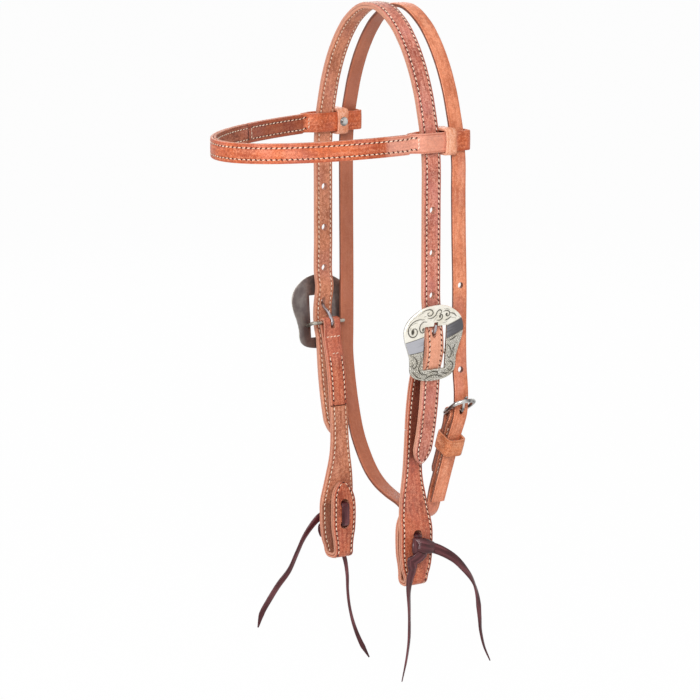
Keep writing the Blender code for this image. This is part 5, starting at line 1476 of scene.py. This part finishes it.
# Tail routes: units of 10 mm from the knot's middle, then (widths in mm) and (twist in degrees) along it
tails = {
    "near_tie_tail_rear": {
        "root": (0.22, 0.75, 0.68),
        "route": ((0.17, 1.25, 0.54), (0.42, 2.05, 0.14), (0.67, 2.95, -0.50), (0.87, 3.7, -1.33),
                  (0.97, 4.5, -2.45), (0.97, 4.98, -3.73), (0.97, 5.25, -5.73), (0.97, 5.35, -6.83),
                  (1.07, 5.65, -8.23), (1.17, 6.2, -9.53)),
        "widths": (9.0, 8.2, 6.8, 4.6, 4.8, 3.6, 2.6, 1.0), "twist": (0, 4, 20, 50, 2, 25, 40, 30)},
    "near_tie_tail_front": {
        "root": (0.06, -0.92, -0.55),
        "route": ((-0.01, -0.80, -1.01), (0.01, -1.05, -1.73), (-0.03, -1.15, -2.73),
                  (-0.08, -1.05, -4.43), (-0.13, -1, -6.13), (-0.13, -1.05, -7.13),
                  (-0.18, -1.25, -8.63), (-0.23, -1.65, -10.43)),
        "widths": (8.0, 7.2, 5.4, 4.4, 4.0, 3.6, 2.6, 1.0), "twist": (0, 8, 30, 40, 30, 40, 50, 40)},
    "off_tie_tail_front": {
        "root": (-0.20, -0.85, 0.72),
        "route": ((-0.12, -1.25, 0.57), (-0.27, -1.8, -0.03), (-0.37, -2.55, -1.03),
                  (-0.47, -3.2, -2.33), (-0.57, -3.9, -3.73), (-0.67, -4.95, -4.93),
                  (-0.72, -5.85, -6.13), (-0.77, -6.5, -7.13), (-0.77, -6.9, -8.33)),
        "widths": (7.0, 6.4, 5.4, 5.0, 5.4, 5.6, 5.0, 1.2), "twist": (0, -10, -25, -20, 0, 0, 10, 10)},
    "off_tie_tail_rear": {
        "root": (-0.05, 0.35, -0.60),
        "route": ((0.01, 0.55, -1.07), (0.11, 0.8, -2.03), (0.33, 1.15, -3.33), (0.43, 1.3, -4.63),
                  (0.43, 1.35, -6.03), (0.43, 1.55, -7.53), (0.48, 1.95, -9.13),
                  (0.53, 2.65, -10.83), (0.58, 3.45, -12.23)),
        "widths": (6.4, 4.6, 3.6, 2.6, 2.6, 3.4, 4.2, 1.2), "twist": (10, 40, 66, 78, 70, 50, 30, 30)},
}


def makeTail(node, look):
    word = node.split("_")[0]
    hand = 1 if word == "near" else -1
    start = knotMiddle() * Vector((hand, 0, 1))
    points = [start + Vector(place) * 0.01 for place in (look["root"], *look["route"])]
    points = evenly(curveThrough(points, 10), strap["looseStep"])
    runs = runsOf(points)
    spots = [runs[-1] * share for share in (0, 0.12, 0.28, 0.45, 0.6, 0.76, 0.9, 1.0)]
    widths = [table(spots, look["widths"], run) * 0.001 for run in runs]
    outs = []
    for run in runs:
        angle = math.radians(table(spots, look["twist"], run))
        outs.append(Vector((hand * math.cos(angle), math.sin(angle), 0.12 * math.sin(run * 90))))
    thick = [table((0, 0.85, 1), (0.0019, 0.0017, 0.0008), run / runs[-1]) for run in runs]
    mesh = laceMesh(node, points, outs, widths, thick)
    name = "".join(part.capitalize() if k else part for k, part in enumerate(node.split("_")))
    piece = newPiece(name, mesh, materials["lace"], f"{word}_cheek", node)


# Throatlatch

throat = {
    "width": 0.013, "ply": 0.003, "back": 0.0245, "span": 0.0825, "inset": 0.0035, "from": 0.150,
    "nearBack": 0.0285, "offBack": 0.0228, "hole": 0.005, "holePitch": 0.0345, "holeDrop": 0.218,
    "barInset": 0.0102, "barDrop": 0.3235, "leanDeg": 21.5, "leg": 0.058, "billetGap": 0.0029,
    "deep": 0.195, "tail": 0.082, "bulge": 0.0030, "wire": 0.0014, "reach": 0.0225, "frameHalf": 0.0095,
    "riseDeg": 33.0, "tongueHole": (0.0110, -0.0042), "prong": 0.0011, "keeperWall": 0.0018,
    "keeperHeight": 0.0155, "keeperPlay": 0.0008, "keeperSlack": 0.0042, "keeperDown": 0.0265,
    "rowInset": 0.0026,
    "billet": ((0.9, -0.40), (0.25, 0.14), (0.0, 1.35), (0.75, 3.0), (1.0, 4.6)),
    "sling": ((-0.962, 0.405), (-0.936, 0.492), (-0.873, 0.620), (-0.776, 0.749), (-0.668, 0.828),
              (-0.521, 0.903), (-0.364, 0.949), (-0.170, 0.980), (0.036, 1.002), (0.170, 1.028),
              (0.285, 1.040)),
}
legLean = math.radians(throat["leanDeg"])
legDown = Vector((-math.sin(legLean), 0, -math.cos(legLean)))
legOut = Vector((math.cos(legLean), 0, -math.sin(legLean)))
throatBar = Vector((throat["span"] - throat["barInset"], throat["nearBack"], -throat["barDrop"]))
legShift = (throat["ply"] + gap) / 2
billetShift = throat["ply"] * 1.5 + gap / 2 + throat["billetGap"]
frameRise = math.radians(throat["riseDeg"])
frameAlong = Vector((math.cos(frameRise), 0, math.sin(frameRise)))
frameUp = Vector((-math.sin(frameRise), 0, math.cos(frameRise)))


# A place on the throatlatch at that level: each side drifts along the cheek and inward as it comes down
def throatLevel(x, z):
    share = eased((-z - throat["from"]) / (throat["holeDrop"] - throat["from"]))
    middle = (throat["nearBack"] + throat["offBack"]) / 2
    level = middle + (throat["nearBack"] - throat["offBack"]) / 2 * x / (throat["span"] - throat["inset"])
    inward = throat["inset"] * share * (1 if x > 0 else -1) if abs(x) > throat["span"] - throat["ply"] else 0
    return Vector((x - inward, throat["back"] + (level - throat["back"]) * share, z))


# A place on the leg: that far down from the small buckle's bar, and that far out
def legPlace(run, out):
    return throatBar + legDown * run + legOut * out


# From the near billet's tip over the poll, down the off side, under the jaw and up to the small buckle
def throatPoints():
    width, span, leg, bulge = throat["width"], throat["span"], throat["leg"], throat["bulge"]
    points = [legPlace(throat["tail"] * share, billetShift) for share in (1, 0.86, 0.68, 0.44, 0.22)]
    points += [throatLevel(span + bulge - bulge * back, up * width - throat["barDrop"])
               for back, up in throat["billet"]]
    top = crown["archDrop"] + width * 1.5
    drop = throat["holeDrop"]
    points += [throatLevel(span, -drop), throatLevel(span, -(top + drop) / 2), throatLevel(span, -top)]
    extra = span - crown["halfSpan"]
    fall = crown["archDrop"] + halfStrap - extra / 2
    arch = [throatLevel(crown["halfSpan"] * out + extra * down, throat["ply"] / 2 - fall * down)
            for out, down in crown["arch"]]
    points += list(reversed(arch))
    points += [throatLevel(x, throat["ply"] / 2) for x in (crown["pollFlat"] / 2, -crown["pollFlat"] / 2)]
    points += handed(arch, -1)
    points += [throatLevel(-span, z) for z in (-top, -(top + drop) / 2, -drop, -drop - throat["deep"] * 0.3)]
    points += [throatLevel(span * a, -drop - throat["deep"] * low) for a, low in throat["sling"]]
    points += [legPlace(run, legShift) for run in (leg + width * 3, leg + width, leg * 0.8, leg / 2, width)]
    return points


def throatSpread(run):
    openHalf = throat["wire"] + gap + throat["ply"] / 2
    return legShift + (openHalf - legShift) * (1 - eased(run / throat["width"]))


def makeThroatStrap():
    half, thick, leg = throat["width"] / 2, throat["ply"], throat["leg"]

    def onLeg(run, out, wide):
        level = throatSpread(run)
        return throatBar + legDown * run, out, sideways, wide, level - thick / 2, level + thick / 2

    route = evenly(curveThrough(throatPoints()), strap["looseStep"])
    body = [(p, n, sideways, half, -thick / 2, thick / 2) for p, n in zip(route, normalsOf(route, -sideways))]
    body += [onLeg(throat["width"] * share, legOut, half) for share in (0.9, 0.75, 0.6, 0.45, 0.3, 0.15, 0.05)]
    around = roundWire(throatBar, -throat["leanDeg"], 180, half, throat["wire"] + gap, thick)
    lap = [onLeg(run, -legOut, half * table((0, 0.004), (0.8, 1.0), leg - run))
           for run in (leg * k / 40 for k in range(1, 41))]
    whole = body + around + lap
    bodyRun = stationRuns(body)[-1]
    # painted shade where the strap's layers lie close by the small buckle: the stretch against the billet and the
    # folded lap
    shades = [(bodyRun - leg - 0.020, bodyRun - 0.004, 0.8), (bodyRun + 0.010, bodyRun + leg + 0.030, 0.7)]
    piece = newPiece("throatStrap", strapMesh("throatStrap", whole, "both", dim=shades),
                     materials["throat"], "throatlatch", "throatlatch_strap")
    levels = [-throat["holeDrop"] - throat["holePitch"] * k for k in range(3)]
    pins = [(throatLevel(throat["span"], level), Vector((1, 0, 0)), sideways,
             throat["hole"] / 2, throat["hole"] / 2, 0.006) for level in levels]
    along, up = throat["tongueHole"]
    middle = throatBar + frameAlong * along + frameUp * up
    pins.append((middle, Vector((1, 0, 0)), sideways,
                 throat["hole"] * 0.36, throat["hole"] * 0.6, thick * 1.6))
    drilled(piece, pins)
    slotted(piece, throatBar - legDown * (thick * 0.4), (sideways, legOut, legDown),
            (throat["prong"] + gap * 2, thick * 1.2 + throat["wire"], (throat["wire"] + thick) * 1.5))
    marks = rowMarks(lap, 1, first=0.010, last=leg - 0.005, inset=throat["rowInset"])
    marks += crossRow(lap, 0.013, 2) + crossRow(lap, leg - 0.005, 2)
    # the same thread shows on the strap's other side
    lower = [entry for entry in body[-60:] if 0.012 < (entry[0] - throatBar).length < leg]
    marks += rowMarks(lower, 1, inset=throat["rowInset"])
    stitched("throatStitches", marks, "throatlatch")


def makeThroatBuckle():
    wire, reach, half = throat["wire"], throat["reach"], throat["frameHalf"]
    corner, roundEnd = wire * 1.6, half * 0.72
    outline = []
    corners = ((corner, half - corner, corner, 180), (reach - roundEnd, half - roundEnd, roundEnd, 90),
               (reach - roundEnd, roundEnd - half, roundEnd, 0), (corner, corner - half, corner, -90))
    for a, b, radius, start in corners:
        outline += [throatBar + frameAlong * x + sideways * y for x, y in arc(a, b, radius, start, -90, 8)]
    outline = evenly(outline + outline[:1], 0.0008)[:-1]
    newPiece("throatFrame", wireMesh("throatFrame", outline, wire * 1.18, frameUp, closed=True),
             materials["nickel"], "throat_frame", "throat_buckle_frame")
    eye = wire + gap + throat["prong"]
    hole, drop = throat["tongueHole"]
    route = [(eye * 0.9, eye * 0.75), (hole * 0.66, drop * 0.45), (hole, drop * 0.95),
             (hole * 1.28, drop * 0.62), (reach * 0.80, eye * 0.42), (reach * 0.95, eye * 1.05),
             (reach + wire * 0.9, eye)]
    line = tongueLine(0.0, eye, -20, 245, route, lambda a, b: throatBar + frameAlong * a + frameUp * b)
    runs = runsOf(line)
    radius = [throat["prong"] * table((0, 0.002), (0.7, 1.0), runs[-1] - run) for run in runs]
    newPiece("throatTongue", wireMesh("throatTongue", line, radius, sideways),
             materials["nickel"], "throat_tongue", "throat_buckle_tongue")


def makeThroatKeeper():
    low = -legShift - throat["ply"] / 2 - throat["keeperPlay"] / 2
    high = billetShift + throat["ply"] / 2 + throat["keeperSlack"]
    sizes = ((high - low) / 2, throat["width"] / 2 + throat["keeperPlay"] / 2, throat["keeperWall"] * 1.4,
             throat["keeperWall"], throat["keeperHeight"] / 2)
    middle = legPlace(throat["keeperDown"], (low + high) / 2)
    wrappedLoop("throatKeeper", middle, (legOut, sideways, legDown), sizes,
                materials["ring"], "throat_keeper", "throat_keeper")


# Camera and stage, which are made before the cords and everything else

view = {"azimuth": 57.0, "elevation": 11.0, "distance": 2.7, "focal": 172.03,
        "target": (0.0335, -0.0468, -0.2708)}


def makeCamera():
    turn, rise = math.radians(view["azimuth"]), math.radians(view["elevation"])
    away = Vector((math.sin(turn) * math.cos(rise), -math.cos(turn) * math.cos(rise), math.sin(rise)))
    data = bpy.data.cameras.new("camera")
    data.sensor_width, data.lens, data.clip_end = 36.0, view["focal"], 20.0
    made = bpy.data.objects.new("camera", data)
    bpy.context.scene.collection.objects.link(made)
    made.location = Vector(view["target"]) + away * view["distance"]
    made.rotation_euler = (-away).to_track_quat("-Z", "Y").to_euler()
    bpy.context.scene.camera = made


# Lamps: name, place, size and watts
studio = {
    "world": 0.42, "floor": -0.62, "floorHalf": 14.0, "floorGlow": 0.965, "aim": (0, 0, -0.25),
    "lamps": (("keyLight", (2.2, -1.5, 1.1), 1.2, 56), ("fillLight", (0.2, -2.5, 0.5), 1.5, 20),
              ("topLight", (-0.3, -0.4, 2.0), 1.0, 13), ("backLight", (-2.0, 1.2, 0.6), 1.5, 8)),
}


# 1 for the rays that meet the white background: the camera's, and those in metal and glass
def backgroundRays(tree):
    path = makeNode(tree, "ShaderNodeLightPath").socket.node
    camera, glossy, through = (Value(tree, path.outputs[f"Is {kind} Ray"])
                               for kind in ("Camera", "Glossy", "Transmission"))
    return camera.most(glossy).most(through)


def makeStage():
    scene = bpy.context.scene
    scene.view_settings.view_transform = "Standard"
    world = bpy.data.worlds.new("studio")
    scene.world = world
    world.use_nodes = True
    tree = world.node_tree
    tree.nodes.clear()
    strength = backgroundRays(tree).ramp(0, 1, studio["world"], 1.0)
    lit = makeNode(tree, "ShaderNodeBackground", None, {"Color": (1, 1, 1), "Strength": strength})
    out = tree.nodes.new("ShaderNodeOutputWorld")
    tree.links.new(lit.socket, out.inputs["Surface"])
    for name, place, size, power in studio["lamps"]:
        data = bpy.data.lights.new(name, "AREA")
        data.shape, data.size, data.energy = "DISK", size, power
        lamp = bpy.data.objects.new(name, data)
        scene.collection.objects.link(lamp)
        lamp.location = place
        lamp.rotation_euler = (Vector(studio["aim"]) - Vector(place)).to_track_quat("-Z", "Y").to_euler()
    far, low = studio["floorHalf"], studio["floor"]
    floor = bpy.data.meshes.new("floor")
    corners = [(-far, -far, low), (far, -far, low), (far, far, low), (-far, far, low)]
    floor.from_pydata(corners, [], [(0, 1, 2, 3)])
    made = bpy.data.objects.new("floor", floor)
    scene.collection.objects.link(made)
    paint = bpy.data.materials.new("pale_floor")
    paint.use_nodes = True
    tree = paint.node_tree
    matt = tree.nodes["Principled BSDF"]
    matt.inputs["Base Color"].default_value = (0.9, 0.9, 0.9, 1)
    matt.inputs["Roughness"].default_value = 0.9
    glow = makeNode(tree, "ShaderNodeEmission", None, {"Color": (1, 1, 1), "Strength": 1.0})
    both = makeNode(tree, "ShaderNodeMixShader", None,
                    {0: backgroundRays(tree) * studio["floorGlow"], 1: Value(tree, matt.outputs[0]), 2: glow})
    tree.links.new(both.socket, tree.nodes["Material Output"].inputs["Surface"])
    floor.materials.append(paint)


hands = (("near", 1), ("off", -1))
makeCamera()
makeStage()
print("camera and stage ready")
for node, look in tails.items():
    makeTail(node, look)
print("tie tails ready")
makeCrown()
print("crown ready")
makeBrowband()
for word, hand in hands:
    makeBandRing(word, hand)
print("browband ready")
for word, hand in hands:
    makePlate(word, hand)
    makeBar(word, hand)
    makeTongue(word, hand)
print("buckles ready")
for word, hand in hands:
    makeCheek(word, hand)
    makeTieLoop(word, hand)
    makeKnot(word, hand)
print("cheeks and ties ready")
makeThroatStrap()
makeThroatBuckle()
makeThroatKeeper()
print("throatlatch ready")
